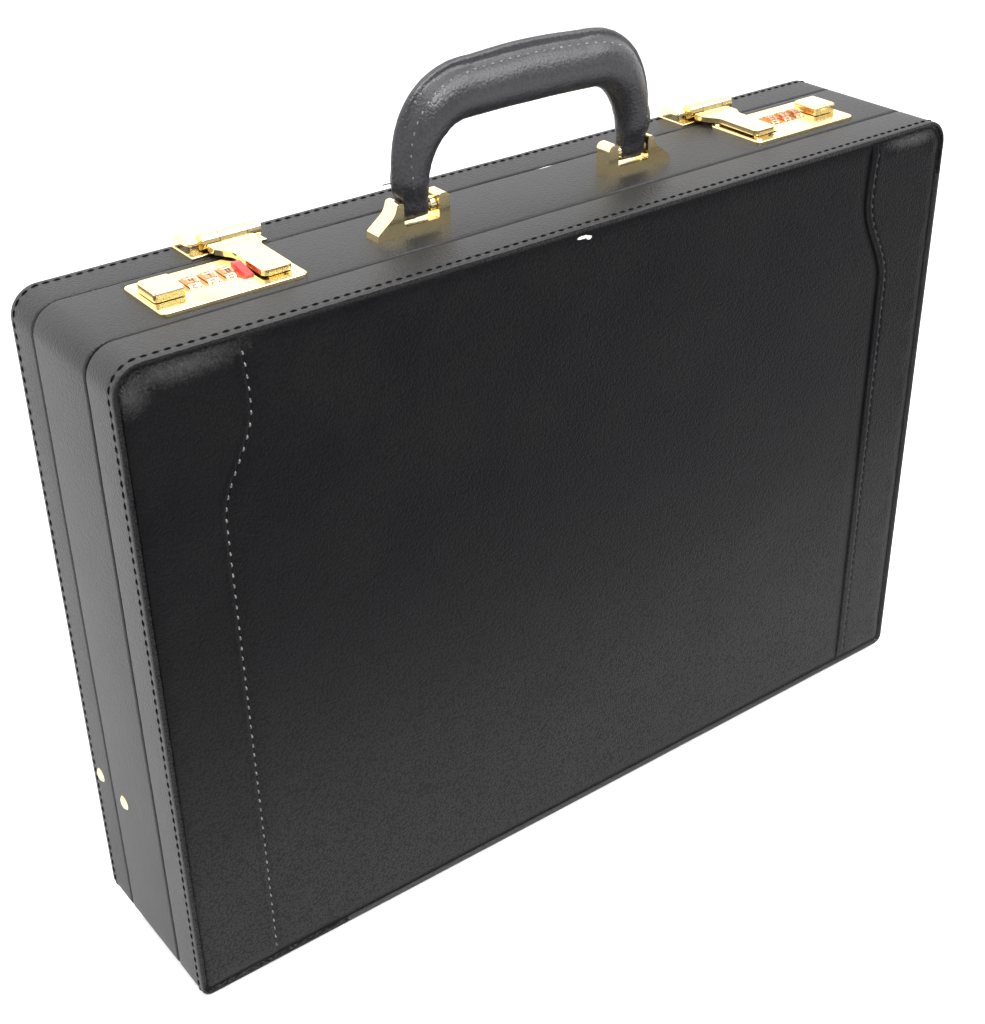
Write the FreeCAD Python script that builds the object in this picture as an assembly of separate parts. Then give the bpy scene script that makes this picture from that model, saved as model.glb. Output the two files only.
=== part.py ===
import FreeCAD, Part
import os
from math import atan2, cos, degrees, pi, sin, sqrt, tan

V = FreeCAD.Vector
os.makedirs("parts", exist_ok=True)

# A framed attache case: +X across the case, -Y the front, +Z up, standing on its four studs.
# The lid is the back shell, hinged at the bottom; the front tray slides out to make the case deeper.

# Overall body, millimetres
WIDTH = 457.0
HEIGHT = 321.0
DEPTH = 94.0
STUD_HEIGHT = 2.5
BOTTOM = STUD_HEIGHT
TOP = BOTTOM + HEIGHT
TOP_RADIUS = 13.0
BOTTOM_RADIUS = 5.0

# Shell build
LEATHER = 1.2
WALL = 5.0
INSIDE = LEATHER + WALL
BOARD = 3.0
FACE_LEATHER = 2.0
BORDER = 2.6
CREASE = 0.5

# Where the three shells meet, along the depth
FRONT = -DEPTH / 2
BACK = DEPTH / 2
TRAY_REAR = -23.9
BASE_FRONT = -22.1
BASE_REAR = 24.4
LID_FRONT = 25.6
SEAM = 25.0

# End panels of the faces
PANEL_EDGE = 187.5
PANEL_SWELL = 16.0
SWELL_LOW = BOTTOM + 242.0
SWELL_HIGH = BOTTOM + 290.0

# Hinge along the bottom seam
HINGE_Z = BOTTOM + 0.3
HINGE_PIN = 1.0
KNUCKLE = 2.2
KNUCKLE_PITCH = 20.0
HINGE_HALF = 210.0
HINGE_LEAF = 0.45

# Clearances
RUNNING = 0.05
GAP = 0.3

# Lid stays
STAY_SPREAD = 12.5
STAY_RISE = 76.7
STAY_Z = HINGE_Z + STAY_RISE
KNEE_Z = HINGE_Z + 2 * STAY_RISE
STAY_HALF_WIDTH = 3.5
STAY_THICK = 1.2
BASE_ARM_X = 217.0
LID_ARM_X = 215.5
RIVET = 2.0

# Locks
PLATE_INNER = 126.0
PLATE_OUTER = 192.0
PLATE_FRONT = -18.0
PLATE_REAR = 17.0
PLATE = 1.5
SLOT_INNER = 131.0
SLOT_OUTER = 144.3
SLOT_FRONT = -12.0
SLOT_REAR = 14.0
DIAL_FIRST = 153.0
DIAL_PITCH = 8.2
DIAL_RADIUS = 6.0
DIAL_WIDTH = 4.4
DIAL_Y = 2.3
DIAL_Z = TOP - 2.0
DIAL_WINDOW = 6.1
AXLE = 1.5
BUTTON_X = 182.5
BUTTON_Y = 0.5
BUTTON_TRAVEL = 5.0

# Hasps
HASP_X = 136.5
HASP_LEFT = 11.7
HASP_RIGHT = 14.7
KNUCKLE_LEFT = 4.7
KNUCKLE_RIGHT = 8.1
BARREL_Y = 31.0
BARREL_Z = TOP + 5.0
BARREL = 3.5
TIP_Y = -12.5

# Handle
HANDLE_X = -3.6
HANDLE_Y = -2.3
PIVOT_Z = TOP + 9.4
HANDLE_PIN = 2.0
BRACKET_DEPTH = 9.0
EAR_INNER = 44.6
EAR_OUTER = 71.6
EAR_GAP = (50.3, 68.3)
LEG_INNER = 53.2
LEG_OUTER = 67.6

PLANES = {
    "XZ": lambda u, v, w: V(u, w, v),
    "XY": lambda u, v, w: V(u, v, w),
    "YZ": lambda u, v, w: V(w, u, v),
}


def box(x0, x1, y0, y1, z0, z1):
    return Part.makeBox(x1 - x0, y1 - y0, z1 - z0, V(x0, y0, z0))


def rod(x0, x1, y, z, r):
    """Round bar along X."""
    return Part.makeCylinder(r, x1 - x0, V(x0, y, z), V(1, 0, 0))


def stud(x, y, z0, z1, r):
    """Round bar along Z."""
    return Part.makeCylinder(r, z1 - z0, V(x, y, z0), V(0, 0, 1))


def fuse(shapes):
    joined = shapes[0].multiFuse(shapes[1:]) if len(shapes) > 1 else shapes[0]
    return joined.removeSplitter()


def cut(shape, tools):
    return shape.cut(Part.makeCompound(tools)).removeSplitter()


def sides():
    return (("left", -1), ("right", 1))


def mirror_x(shape):
    return shape.mirror(V(0, 0, 0), V(1, 0, 0))


def span(sign, inner, outer):
    """Order the two ends of a stretch that lies to one side of the middle."""
    return (sign * inner, sign * outer) if sign > 0 else (sign * outer, sign * inner)


def corner(before, here, after, radius):
    """Start, middle and end of the arc that rounds one corner of a polygon."""
    point = V(here[0], here[1], 0)
    back = (V(before[0], before[1], 0) - point).normalize()
    ahead = (V(after[0], after[1], 0) - point).normalize()
    half = back.getAngle(ahead) / 2
    first = point + back * (radius / tan(half))
    last = point + ahead * (radius / tan(half))
    centre = point + (back + ahead).normalize() * (radius / sin(half))
    middle = centre + (point - centre).normalize() * radius
    return first, middle, last


def slab(plane, corners, start, end):
    """Extrude a polygon with rounded corners; each corner is (u, v, radius)."""
    place = PLANES[plane]
    count = len(corners)
    arcs = []
    for i, here in enumerate(corners):
        if here[2] > 0:
            arcs.append(corner(corners[i - 1], here, corners[(i + 1) % count], here[2]))
        else:
            arcs.append((V(here[0], here[1], 0),) * 3)
    edges = []
    for i, (first, middle, last) in enumerate(arcs):
        following = arcs[(i + 1) % count][0]
        a, m, b, c = [place(p.x, p.y, start) for p in (first, middle, last, following)]
        if a.distanceToPoint(b) > 1e-6:
            edges.append(Part.Arc(a, m, b).toShape())
        if b.distanceToPoint(c) > 1e-6:
            edges.append(Part.LineSegment(b, c).toShape())
    face = Part.Face(Part.Wire(edges))
    return face.extrude(place(0, 0, end - start))


def body_slab(inset, y0, y1):
    """The case seen from the front, shrunk by inset, from y0 to y1."""
    half = WIDTH / 2 - inset
    low = BOTTOM + inset
    high = TOP - inset
    top = max(TOP_RADIUS - inset, 1.5)
    bottom = max(BOTTOM_RADIUS - inset, 1.0)
    corners = [
        (-half, low, bottom),
        (half, low, bottom),
        (half, high, top),
        (-half, high, top),
    ]
    return slab("XZ", corners, y0, y1)


def ring(outer, inner, y0, y1):
    return body_slab(outer, y0, y1).cut(body_slab(inner, y0 - 1, y1 + 1))


def edges_at(shape, test):
    return [e for e in shape.Edges if test(e.BoundBox)]


def round_rim(shape, y, radius):
    """Round the outermost edges that lie in the plane at depth y."""
    half = WIDTH / 2

    def on_rim(b):
        flat = abs(b.YMin - y) < 0.01 and abs(b.YMax - y) < 0.01
        outer = max(abs(b.XMin), abs(b.XMax)) > half - 0.01
        level = abs(b.ZMin - BOTTOM) < 0.01 or abs(b.ZMax - TOP) < 0.01
        return flat and (outer or level)

    return shape.makeFillet(radius, edges_at(shape, on_rim))


def panel_edge_x(z):
    """How far from the middle the edge of an end panel runs at height z."""
    share = min(max((z - SWELL_LOW) / (SWELL_HIGH - SWELL_LOW), 0), 1)
    above = max(z - SWELL_HIGH, 0)
    swell = PANEL_SWELL * (0.5 - 0.5 * cos(pi * share)) - 2.0 * (above / 28.0) ** 2
    return PANEL_EDGE - swell


def side_region(y0, y1):
    """Everything outboard of the right-hand end panel's curved edge."""
    steps = 16
    heights = [SWELL_LOW + (TOP - SWELL_LOW) * i / steps for i in range(steps + 1)]
    points = [V(panel_edge_x(z), y0, z) for z in heights]
    curve = Part.BSplineCurve()
    curve.interpolate(Points=points, InitialTangent=V(0, 0, 1), FinalTangent=points[-1] - points[-2])
    low = V(PANEL_EDGE, y0, 0)
    far_low = V(WIDTH, y0, 0)
    far_high = V(WIDTH, y0, TOP)
    outline = [
        Part.LineSegment(low, points[0]).toShape(),
        curve.toShape(),
        Part.LineSegment(points[-1], far_high).toShape(),
        Part.LineSegment(far_high, far_low).toShape(),
        Part.LineSegment(far_low, low).toShape(),
    ]
    return Part.Face(Part.Wire(outline)).extrude(V(0, y1 - y0, 0))


def between(a, b):
    return min(a, b), max(a, b)


def shell_leather(seam, outer, sign):
    """Leather that wraps a shell's edge band, turned in at the seam and over the rim of the face."""
    band = ring(0, LEATHER, *between(seam, outer))
    turn_in = ring(0, INSIDE, *between(seam, seam + sign * LEATHER))
    border = ring(0, BORDER, *between(outer - sign * FACE_LEATHER, outer))
    return round_rim(fuse([band, turn_in, border]), outer, 1.6)


def face_leathers(outer, sign):
    """Centre, left and right leathers of one face."""
    under = outer - sign * FACE_LEATHER
    centre_face = outer - sign * 0.8
    thin = body_slab(BORDER + CREASE, *between(under, centre_face))
    thick = body_slab(BORDER + CREASE, *between(under, outer))
    right = side_region(-DEPTH, DEPTH)
    left = mirror_x(right)
    return thin.cut(right).cut(left), thick.common(left), thick.common(right)


def relief():
    """Room for the hinge knuckles in the bottom edge of both shells."""
    return rod(-HINGE_HALF - 1, HINGE_HALF + 1, SEAM, HINGE_Z, KNUCKLE + 0.5)


# ---- Hardware that several nodes are cut by ----

def stay_rivet(y, inner_arm_x, sign):
    """Rivet through a side wall, with a collar that stands the stay arm off the wall."""
    wall = WIDTH / 2
    head = Part.makeCone(3.6, 2.6, 0.8, V(wall, y, STAY_Z), V(1, 0, 0))
    shank = rod(inner_arm_x - 0.9, wall, y, STAY_Z, RIVET)
    collar = rod(inner_arm_x + STAY_THICK + 0.2, wall - INSIDE, y, STAY_Z, 3.2)
    tail = rod(inner_arm_x - 0.9, inner_arm_x - 0.15, y, STAY_Z, 3.2)
    rivet = fuse([head, shank, collar, tail])
    return rivet if sign > 0 else mirror_x(rivet)


def rivets_at(y, inner_arm_x):
    return Part.makeCompound([stay_rivet(y, inner_arm_x, s) for _, s in sides()])


def foot_studs(y):
    """Two domed metal studs with their shanks through the bottom wall."""
    studs = []
    for _, s in sides():
        cap = stud(s * 197.0, y, 0, BOTTOM, 6.0)
        cap = cap.makeFillet(1.8, edges_at(cap, lambda b: b.ZMax < 0.01))
        shank = stud(s * 197.0, y, BOTTOM, BOTTOM + INSIDE, 1.5)
        studs.append(fuse([cap, shank]))
    return Part.makeCompound(studs)


def at_handle(shape):
    """The handle and its brackets sit slightly left of the middle of the case."""
    shape.translate(V(HANDLE_X, 0, 0))
    return shape


def fixing(sign):
    """Backing plate and two screws that hold one handle bracket."""
    x0, x1 = span(sign, 47.0, 82.0)
    plate = box(x0, x1, HANDLE_Y - 5, HANDLE_Y + 5, TOP - INSIDE - 1.5, TOP - INSIDE)
    screws = [stud(sign * x, HANDLE_Y, TOP - INSIDE - 1.5, TOP + 2.5, 1.4) for x in (54.5, 64.5)]
    return at_handle(fuse([plate] + screws))


HOUSING_INNER = 128.5
HOUSING_OUTER = 190.5
HOUSING_HALF = 15.0
HOUSING_DEEP = 10.5


def dial_x(sign, index):
    return sign * (DIAL_FIRST + DIAL_PITCH * index)


def lock_plate(sign):
    """Brass plate with windows for the dials, the claw and the button's stem."""
    x0, x1 = span(sign, PLATE_INNER, PLATE_OUTER)
    r = 3.0
    outline = [(x0, PLATE_FRONT, r), (x1, PLATE_FRONT, r), (x1, PLATE_REAR, r), (x0, PLATE_REAR, r)]
    plate = slab("XY", outline, TOP, TOP + PLATE)
    plate = plate.makeFillet(0.6, edges_at(plate, lambda b: b.ZMin > TOP + PLATE - 0.01))
    cuts = []
    for i in range(3):
        x = dial_x(sign, i)
        half = DIAL_WIDTH / 2 + GAP
        cuts.append(box(x - half, x + half, DIAL_Y - DIAL_WINDOW, DIAL_Y + DIAL_WINDOW, TOP - 1, TOP + 3))
    a, b = span(sign, SLOT_INNER, SLOT_OUTER)
    cuts.append(box(a, b, SLOT_FRONT, SLOT_REAR, TOP - 1, TOP + 3))
    a, b = span(sign, BUTTON_X - 4.8, BUTTON_X + 4.8)
    cuts.append(box(a, b, BUTTON_Y - 3.3, BUTTON_Y + 3.3, TOP - 1, TOP + 3))
    return cut(plate, cuts)


def lock_housing(sign):
    """Steel tub under a lock plate, with two ribs that carry the dial axle."""
    x0, x1 = span(sign, HOUSING_INNER, HOUSING_OUTER)
    floor_z = TOP - HOUSING_DEEP
    tub = box(x0, x1, -HOUSING_HALF, HOUSING_HALF, floor_z, TOP)
    tub = tub.cut(box(x0 + 1, x1 - 1, 1 - HOUSING_HALF, HOUSING_HALF - 1, floor_z + 1, TOP + 1))
    ribs = []
    for x in (DIAL_FIRST - 4.6, DIAL_FIRST + 2 * DIAL_PITCH + 4.6):
        a, b = span(sign, x - 0.5, x + 0.5)
        ribs.append(box(a, b, DIAL_Y - 4, DIAL_Y + 4, floor_z + 1, TOP))
    return fuse([tub] + ribs)


def dial_axle(sign):
    """Axle of one set of dials, with collars that keep the dials apart."""
    a, b = span(sign, DIAL_FIRST - 5.1, DIAL_FIRST + 2 * DIAL_PITCH + 5.1)
    pieces = [rod(a, b, DIAL_Y, DIAL_Z, AXLE)]
    half = (DIAL_PITCH - DIAL_WIDTH) / 2 - 0.15
    for i in range(2):
        x = (dial_x(sign, i) + dial_x(sign, i + 1)) / 2
        pieces.append(rod(x - half, x + half, DIAL_Y, DIAL_Z, AXLE + GAP))
    return fuse(pieces)


def dial(sign, index):
    """Number wheel with ten finger notches."""
    x0 = dial_x(sign, index) - DIAL_WIDTH / 2
    x1 = x0 + DIAL_WIDTH
    wheel = rod(x0, x1, DIAL_Y, DIAL_Z, DIAL_RADIUS)
    notches = []
    for i in range(10):
        a = 2 * pi * (i + 0.5) / 10
        y = DIAL_Y + (DIAL_RADIUS + 0.15) * cos(a)
        z = DIAL_Z + (DIAL_RADIUS + 0.15) * sin(a)
        notches.append(rod(x0 - 1, x1 + 1, y, z, 0.7))
    return cut(wheel, notches + [rod(x0 - 1, x1 + 1, DIAL_Y, DIAL_Z, AXLE + RUNNING)])


def button(sign):
    """Sliding release button: a raised cap on a stem and a foot under the plate."""
    x0, x1 = span(sign, BUTTON_X - 7, BUTTON_X + 7)
    z0 = TOP + PLATE + GAP
    cap = box(x0, x1, BUTTON_Y - 8, BUTTON_Y + 8, z0, TOP + 6.2)
    cap = cap.makeFillet(1.6, edges_at(cap, lambda b: b.ZMax > TOP + 6.1 or b.ZLength > 2))
    a, b = span(sign, BUTTON_X - 4.5, BUTTON_X - 0.5)
    stem = box(a, b, BUTTON_Y - 3, BUTTON_Y + 3, TOP - 1.6, z0)
    foot = box(a, b, BUTTON_Y - 5, BUTTON_Y + 5, TOP - 2.6, TOP - GAP)
    return fuse([cap, stem, foot])


def lock_rivets_of(sign):
    """Four small rivets at the corners of one lock plate."""
    pins = []
    for x in (PLATE_INNER + 3.0, PLATE_OUTER - 3.0):
        for y in (PLATE_FRONT + 3.0, PLATE_REAR - 3.0):
            shank = stud(sign * x, y, TOP, TOP + PLATE, 0.9)
            head = Part.makeCone(1.5, 0.9, 0.6, V(sign * x, y, TOP + PLATE))
            pins.append(fuse([shank, head]))
    return pins


def bracket(sign):
    """Handle bracket: a saddle and two ears, the outboard one sweeping down into a foot."""
    base = TOP
    ear_top = TOP + 14.6
    inner, outer = EAR_GAP
    outline = [
        (EAR_INNER, base, 0),
        (EAR_INNER, ear_top, 2.8),
        (inner, ear_top, 1.6),
        (inner, base + 3.8, 0.8),
        (outer, base + 3.8, 0.8),
        (outer, ear_top, 1.2),
        (EAR_OUTER, ear_top, 1.6),
        (EAR_OUTER + 1.4, base + 9.8, 8.0),
        (EAR_OUTER + 10.0, base + 3.2, 1.2),
        (EAR_OUTER + 10.6, base, 0),
    ]
    y0 = HANDLE_Y - BRACKET_DEPTH / 2
    body = slab("XZ", outline, y0, y0 + BRACKET_DEPTH)
    socket = rod(EAR_INNER + 1.2, EAR_OUTER - 0.2, HANDLE_Y, PIVOT_Z, HANDLE_PIN + RUNNING)
    body = body.cut(socket)
    return at_handle(body if sign > 0 else mirror_x(body))


def handle_outline():
    """The handle seen from the front."""
    half = [
        (LEG_INNER, TOP + 5.2, 1.5),
        (LEG_OUTER, TOP + 5.2, 1.5),
        (LEG_OUTER, TOP + 16.4, 4.0),
        (70.8, TOP + 21.5, 6.0),
        (70.8, TOP + 69.6, 36.0),
    ]
    crown = [(0, TOP + 70.6, 200.0)]
    mirrored = [(-x, z, r) for x, z, r in reversed(half)]
    arch = [(-LEG_INNER, TOP + 43.5, 20.0), (LEG_INNER, TOP + 43.5, 20.0)]
    return half + crown + mirrored + arch


def handle_side():
    """The handle seen from the end."""
    y = HANDLE_Y
    front = [
        (y - 4.2, TOP + 5.2, 4.1),
        (y - 4.6, TOP + 14.5, 8.0),
        (y - 7.4, TOP + 24, 20.0),
        (y - 10.6, TOP + 43, 9.0),
        (y - 9.0, TOP + 71.0, 7.5),
    ]
    rear = [(2 * y - v, z, r) for v, z, r in reversed(front)]
    return front + rear


def handle_core():
    """Steel strap inside the handle, and the pins it hangs on."""
    y0, y1 = HANDLE_Y - 1.5, HANDLE_Y + 1.5
    middle = (LEG_INNER + LEG_OUTER) / 2
    half = [(middle - 4, TOP + 7.5, 0), (middle + 4, TOP + 7.5, 0), (middle + 4, TOP + 56, 20)]
    mirrored = [(-x, z, r) for x, z, r in reversed(half)]
    arch = [(4 - middle, TOP + 50, 12), (middle - 4, TOP + 50, 12)]
    pieces = [slab("XZ", half + mirrored + arch, y0, y1)]
    for _, s in sides():
        a, b = span(s, EAR_INNER + 1.5, EAR_OUTER - 0.5)
        pieces.append(rod(a, b, HANDLE_Y, PIVOT_Z, HANDLE_PIN))
    return at_handle(fuse(pieces))


def hasp_base(centre):
    """Plate on the lid with a side block, two knuckles and the hasp's pin."""
    plate = box(centre - 19.5, centre + 16.0, LID_FRONT + 0.4, 45.0, TOP, TOP + 1.2)
    plate = plate.makeFillet(0.5, edges_at(plate, lambda b: b.ZMin > TOP + 1.19))
    block = box(centre - 19.0, centre - HASP_LEFT - 0.3, 30.0, 44.0, TOP + 0.6, TOP + 6.5)
    block = block.makeFillet(2.2, edges_at(block, lambda b: b.ZMax > TOP + 6.4 or b.ZLength > 2))
    pieces = [plate, block]
    knuckles = (
        (centre - HASP_LEFT - 1, centre - KNUCKLE_LEFT - GAP),
        (centre + KNUCKLE_RIGHT + GAP, centre + HASP_RIGHT),
    )
    for x0, x1 in knuckles:
        pieces.append(rod(x0, x1, BARREL_Y, BARREL_Z, BARREL))
        pieces.append(box(x0, x1, BARREL_Y, BARREL_Y + BARREL, TOP + 0.6, BARREL_Z))
    pieces.append(rod(centre - KNUCKLE_LEFT - 1, centre + KNUCKLE_RIGHT + 1, BARREL_Y, BARREL_Z, 1.5))
    return fuse(pieces)


def hasp_arm(centre):
    """Swinging arm: a knuckle, a tapering tongue and a claw that drops into the lock plate."""
    outline = [
        (centre - HASP_LEFT, 27.0, 1.0),
        (centre - HASP_LEFT, 20.5, 3.5),
        (centre - 7.0, 13.0, 6.0),
        (centre - 7.4, TIP_Y, 2.5),
        (centre + 6.4, TIP_Y, 2.5),
        (centre + 7.2, 14.5, 2.0),
        (centre + 10.0, 19.0, 2.0),
        (centre + 10.0, 27.0, 1.0),
    ]
    tongue = slab("XY", outline, TOP + 2.4, TOP + 4.8)
    x0, x1 = centre - KNUCKLE_LEFT, centre + KNUCKLE_RIGHT
    neck = box(x0, x1, 26.0, BARREL_Y, TOP + 2.4, TOP + 4.8)
    knuckle = rod(x0, x1, BARREL_Y, BARREL_Z, BARREL)
    claw = box(centre - 4.7, centre + 2.3, SLOT_FRONT + 0.5, SLOT_FRONT + 3.5, TOP + 0.2, TOP + 3)
    arm = fuse([tongue, neck, knuckle, claw])
    return arm.cut(rod(x0 - 1, x1 + 1, BARREL_Y, BARREL_Z, 1.5 + RUNNING))


def stay_arm(y0, z0, y1, z1, x, sign):
    """Flat link between two pivots, without its holes."""
    length = sqrt((y1 - y0) ** 2 + (z1 - z0) ** 2)
    w = STAY_HALF_WIDTH
    bar = slab("YZ", [(-w, -w, w), (w, -w, w), (w, length + w, w), (-w, length + w, w)], x, x + STAY_THICK)
    bar.rotate(V(0, 0, 0), V(1, 0, 0), degrees(-atan2(y1 - y0, z1 - z0)))
    bar.translate(V(0, y0, z0))
    return bar if sign > 0 else mirror_x(bar)


def pivot_hole(x, y, z, sign):
    a, b = span(sign, x - 1, x + STAY_THICK + 1)
    return rod(a, b, y, z, RIVET + RUNNING)


def base_stay_arm(sign):
    """Link from the base rivet up to the knee; it carries the knee rivet."""
    y = SEAM - STAY_SPREAD
    arm = stay_arm(y, STAY_Z, SEAM, KNEE_Z, BASE_ARM_X, sign)
    arm = arm.cut(pivot_hole(BASE_ARM_X, y, STAY_Z, sign))
    a, b = span(sign, LID_ARM_X - 0.9, BASE_ARM_X + 0.1)
    c, d = span(sign, LID_ARM_X - 0.9, LID_ARM_X - 0.15)
    return fuse([arm, rod(a, b, SEAM, KNEE_Z, RIVET), rod(c, d, SEAM, KNEE_Z, 3.2)])


def lid_stay_arm(sign):
    """Link from the knee down to the lid rivet."""
    y = SEAM + STAY_SPREAD
    arm = stay_arm(y, STAY_Z, SEAM, KNEE_Z, LID_ARM_X, sign)
    holes = [pivot_hole(LID_ARM_X, y, STAY_Z, sign), pivot_hole(LID_ARM_X, SEAM, KNEE_Z, sign)]
    return cut(arm, holes)


def hinge_leaf(lid_side):
    """One half of the piano hinge: a leaf against the shell's edge and every other knuckle."""
    y0, y1 = (LID_FRONT - HINGE_LEAF, LID_FRONT) if lid_side else (BASE_REAR, BASE_REAR + HINGE_LEAF)
    leaf = box(-HINGE_HALF, HINGE_HALF, y0, y1, HINGE_Z, BOTTOM + 7.0)
    leaf = leaf.cut(rod(-HINGE_HALF - 1, HINGE_HALF + 1, SEAM, HINGE_Z, KNUCKLE + GAP))
    pieces = [leaf]
    count = int(2 * HINGE_HALF / KNUCKLE_PITCH)
    for i in range(count):
        if (i % 2 == 1) == lid_side:
            x0 = -HINGE_HALF + i * KNUCKLE_PITCH + 0.15
            x1 = x0 + KNUCKLE_PITCH - 0.3
            pieces.append(rod(x0, x1, SEAM, HINGE_Z, KNUCKLE))
            pieces.append(box(x0, x1, y0, y1, HINGE_Z + 1.5, HINGE_Z + 4.0))
    bore = HINGE_PIN + RUNNING if lid_side else HINGE_PIN
    return cut(fuse(pieces), [rod(-HINGE_HALF - 1, HINGE_HALF + 1, SEAM, HINGE_Z, bore)])


def pocket(x0, x1, z0, z1, y_front):
    """Flat pocket on the lid lining, open at the top."""
    wall = 1.2
    back = LINING_FACE
    outer = box(x0, x1, y_front, back, z0, z1)
    return outer.cut(box(x0 + wall, x1 - wall, y_front + wall, back + 1, z0 + wall, z1 + 1))


LINING_FACE = BACK - FACE_LEATHER - BOARD - 0.6


def lock_cover():
    """Shallow tray-shaped cover that hides the lock works under the top wall."""
    x, y0, y1 = 196.0, BASE_FRONT + 2.0, 16.5
    low, high = TOP - 13.4, TOP - INSIDE
    outer = box(-x, x, y0, y1, low, high)
    return outer.cut(box(1 - x, x - 1, y0 + 1, y1 - 1, low + 1, high + 1))


def base_nodes():
    nodes = {}
    base_rivets = rivets_at(SEAM - STAY_SPREAD, BASE_ARM_X)
    fixings = [fixing(s) for _, s in sides()]
    windows = [
        box(*span(s, HOUSING_INNER, HOUSING_OUTER), -HOUSING_HALF, HOUSING_HALF, TOP - 12, TOP + 1)
        for _, s in sides()
    ]
    frame = ring(LEATHER, INSIDE, BASE_FRONT + LEATHER, BASE_REAR - LEATHER)
    band = ring(0, LEATHER, BASE_FRONT, BASE_REAR)
    turns = [
        ring(0, INSIDE, BASE_FRONT, BASE_FRONT + LEATHER),
        ring(0, INSIDE, BASE_REAR - LEATHER, BASE_REAR),
    ]
    leather = fuse([band] + turns)
    tools = windows + fixings + [base_rivets, relief()]
    nodes["base_frame"] = cut(frame, tools)
    nodes["base_leather"] = cut(leather, tools)
    leg = ring(INSIDE, INSIDE + 1.2, 17.0, 22.0)
    step = ring(INSIDE, INSIDE + 2.6, 21.0, 22.0)
    tongue = ring(INSIDE + 1.4, INSIDE + 2.6, 21.0, 27.5)
    nodes["base_valance"] = fuse([leg, step, tongue])
    nodes["expansion_gusset"] = ring(2.2, 3.2, TRAY_REAR, BASE_FRONT)
    for name, s in sides():
        nodes[name + "_lock_plate"] = cut(lock_plate(s), lock_rivets_of(s))
        nodes[name + "_lock_housing"] = cut(lock_housing(s), [dial_axle(s)])
        nodes[name + "_handle_bracket"] = cut(bracket(s), fixings)
    nodes["lock_cover"] = lock_cover()
    nodes["dial_axles"] = Part.makeCompound([dial_axle(s) for _, s in sides()])
    nodes["lock_rivets"] = Part.makeCompound(lock_rivets_of(-1) + lock_rivets_of(1))
    tab = [
        (-6.6, TOP + PLATE, 0),
        (-6.6, TOP + 2.3, 0.4),
        (3.4, TOP + 4.6, 1.4),
        (5.6, TOP + 4.6, 0.8),
        (5.6, TOP + PLATE, 0),
    ]
    nodes["lock_tab"] = slab("YZ", tab, -148.8, -145.2)
    nodes["handle_fixings"] = Part.makeCompound(fixings)
    nodes["base_hinge_leaf"] = hinge_leaf(False)
    nodes["hinge_pin"] = rod(-HINGE_HALF, HINGE_HALF, SEAM, HINGE_Z, HINGE_PIN)
    nodes["base_stay_rivets"] = base_rivets
    return nodes


def tray_nodes():
    nodes = {}
    feet = foot_studs(-36.0)
    inner = FRONT + FACE_LEATHER
    nodes["tray_frame"] = cut(ring(LEATHER, INSIDE, inner + BOARD, TRAY_REAR - LEATHER), [feet])
    nodes["tray_board"] = body_slab(LEATHER, inner, inner + BOARD)
    nodes["tray_leather"] = cut(shell_leather(TRAY_REAR, FRONT, -1), [feet])
    centre, left, right = face_leathers(FRONT, -1)
    nodes["front_centre_leather"] = centre
    nodes["front_left_leather"] = left
    nodes["front_right_leather"] = right
    floor_board = body_slab(INSIDE, inner + BOARD, inner + BOARD + 0.6)
    sleeve = ring(INSIDE + 0.5, INSIDE + 2.5, inner + BOARD, 8.0)
    head_room = box(-WIDTH, WIDTH, BASE_FRONT + 1.0, 20.0, TOP - 30, TOP)
    nodes["tray_lining"] = fuse([floor_board, sleeve.cut(head_room)])
    nodes["tray_feet"] = feet
    return nodes


def lid_nodes():
    nodes = {}
    feet = foot_studs(38.0)
    rivets = rivets_at(SEAM + STAY_SPREAD, LID_ARM_X)
    inner = BACK - FACE_LEATHER
    tools = [feet, rivets, relief()]
    nodes["lid_frame"] = cut(ring(LEATHER, INSIDE, LID_FRONT + LEATHER, inner - BOARD), tools)
    nodes["lid_board"] = body_slab(LEATHER, inner - BOARD, inner)
    nodes["lid_leather"] = cut(shell_leather(LID_FRONT, BACK, 1), tools)
    centre, left, right = face_leathers(BACK, 1)
    nodes["back_centre_leather"] = centre
    nodes["back_left_leather"] = left
    nodes["back_right_leather"] = right
    nodes["lid_valance"] = ring(INSIDE, INSIDE + 1.0, LID_FRONT, 33.8)
    sheet = body_slab(INSIDE, LINING_FACE, inner - BOARD)
    rim = ring(INSIDE, INSIDE + 0.8, 33.8, inner - BOARD)
    nodes["lid_lining"] = cut(fuse([sheet, rim]), [rivets])
    nodes["file_pocket"] = pocket(-200.0, 200.0, 24.0, 205.0, 37.0)
    cards = [
        pocket(-190.0, -105.0, 225.0, 285.0, 38.4),
        pocket(-95.0, -10.0, 225.0, 285.0, 38.4),
        pocket(10.0, 95.0, 225.0, 285.0, 38.4),
    ]
    nodes["card_pockets"] = Part.makeCompound(cards)
    loops = []
    for x in (125.0, 150.0, 175.0):
        band = box(x - 8, x + 8, 37.6, LINING_FACE, 240.0, 262.0)
        loops.append(band.cut(box(x - 6.8, x + 6.8, 38.6, LINING_FACE + 1, 239.0, 263.0)))
    nodes["pen_loops"] = Part.makeCompound(loops)
    nodes["lid_hinge_leaf"] = hinge_leaf(True)
    for name, s in sides():
        nodes[name + "_hasp_base"] = hasp_base(s * HASP_X)
    nodes["lid_stay_rivets"] = rivets
    nodes["lid_feet"] = feet
    return nodes


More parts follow.
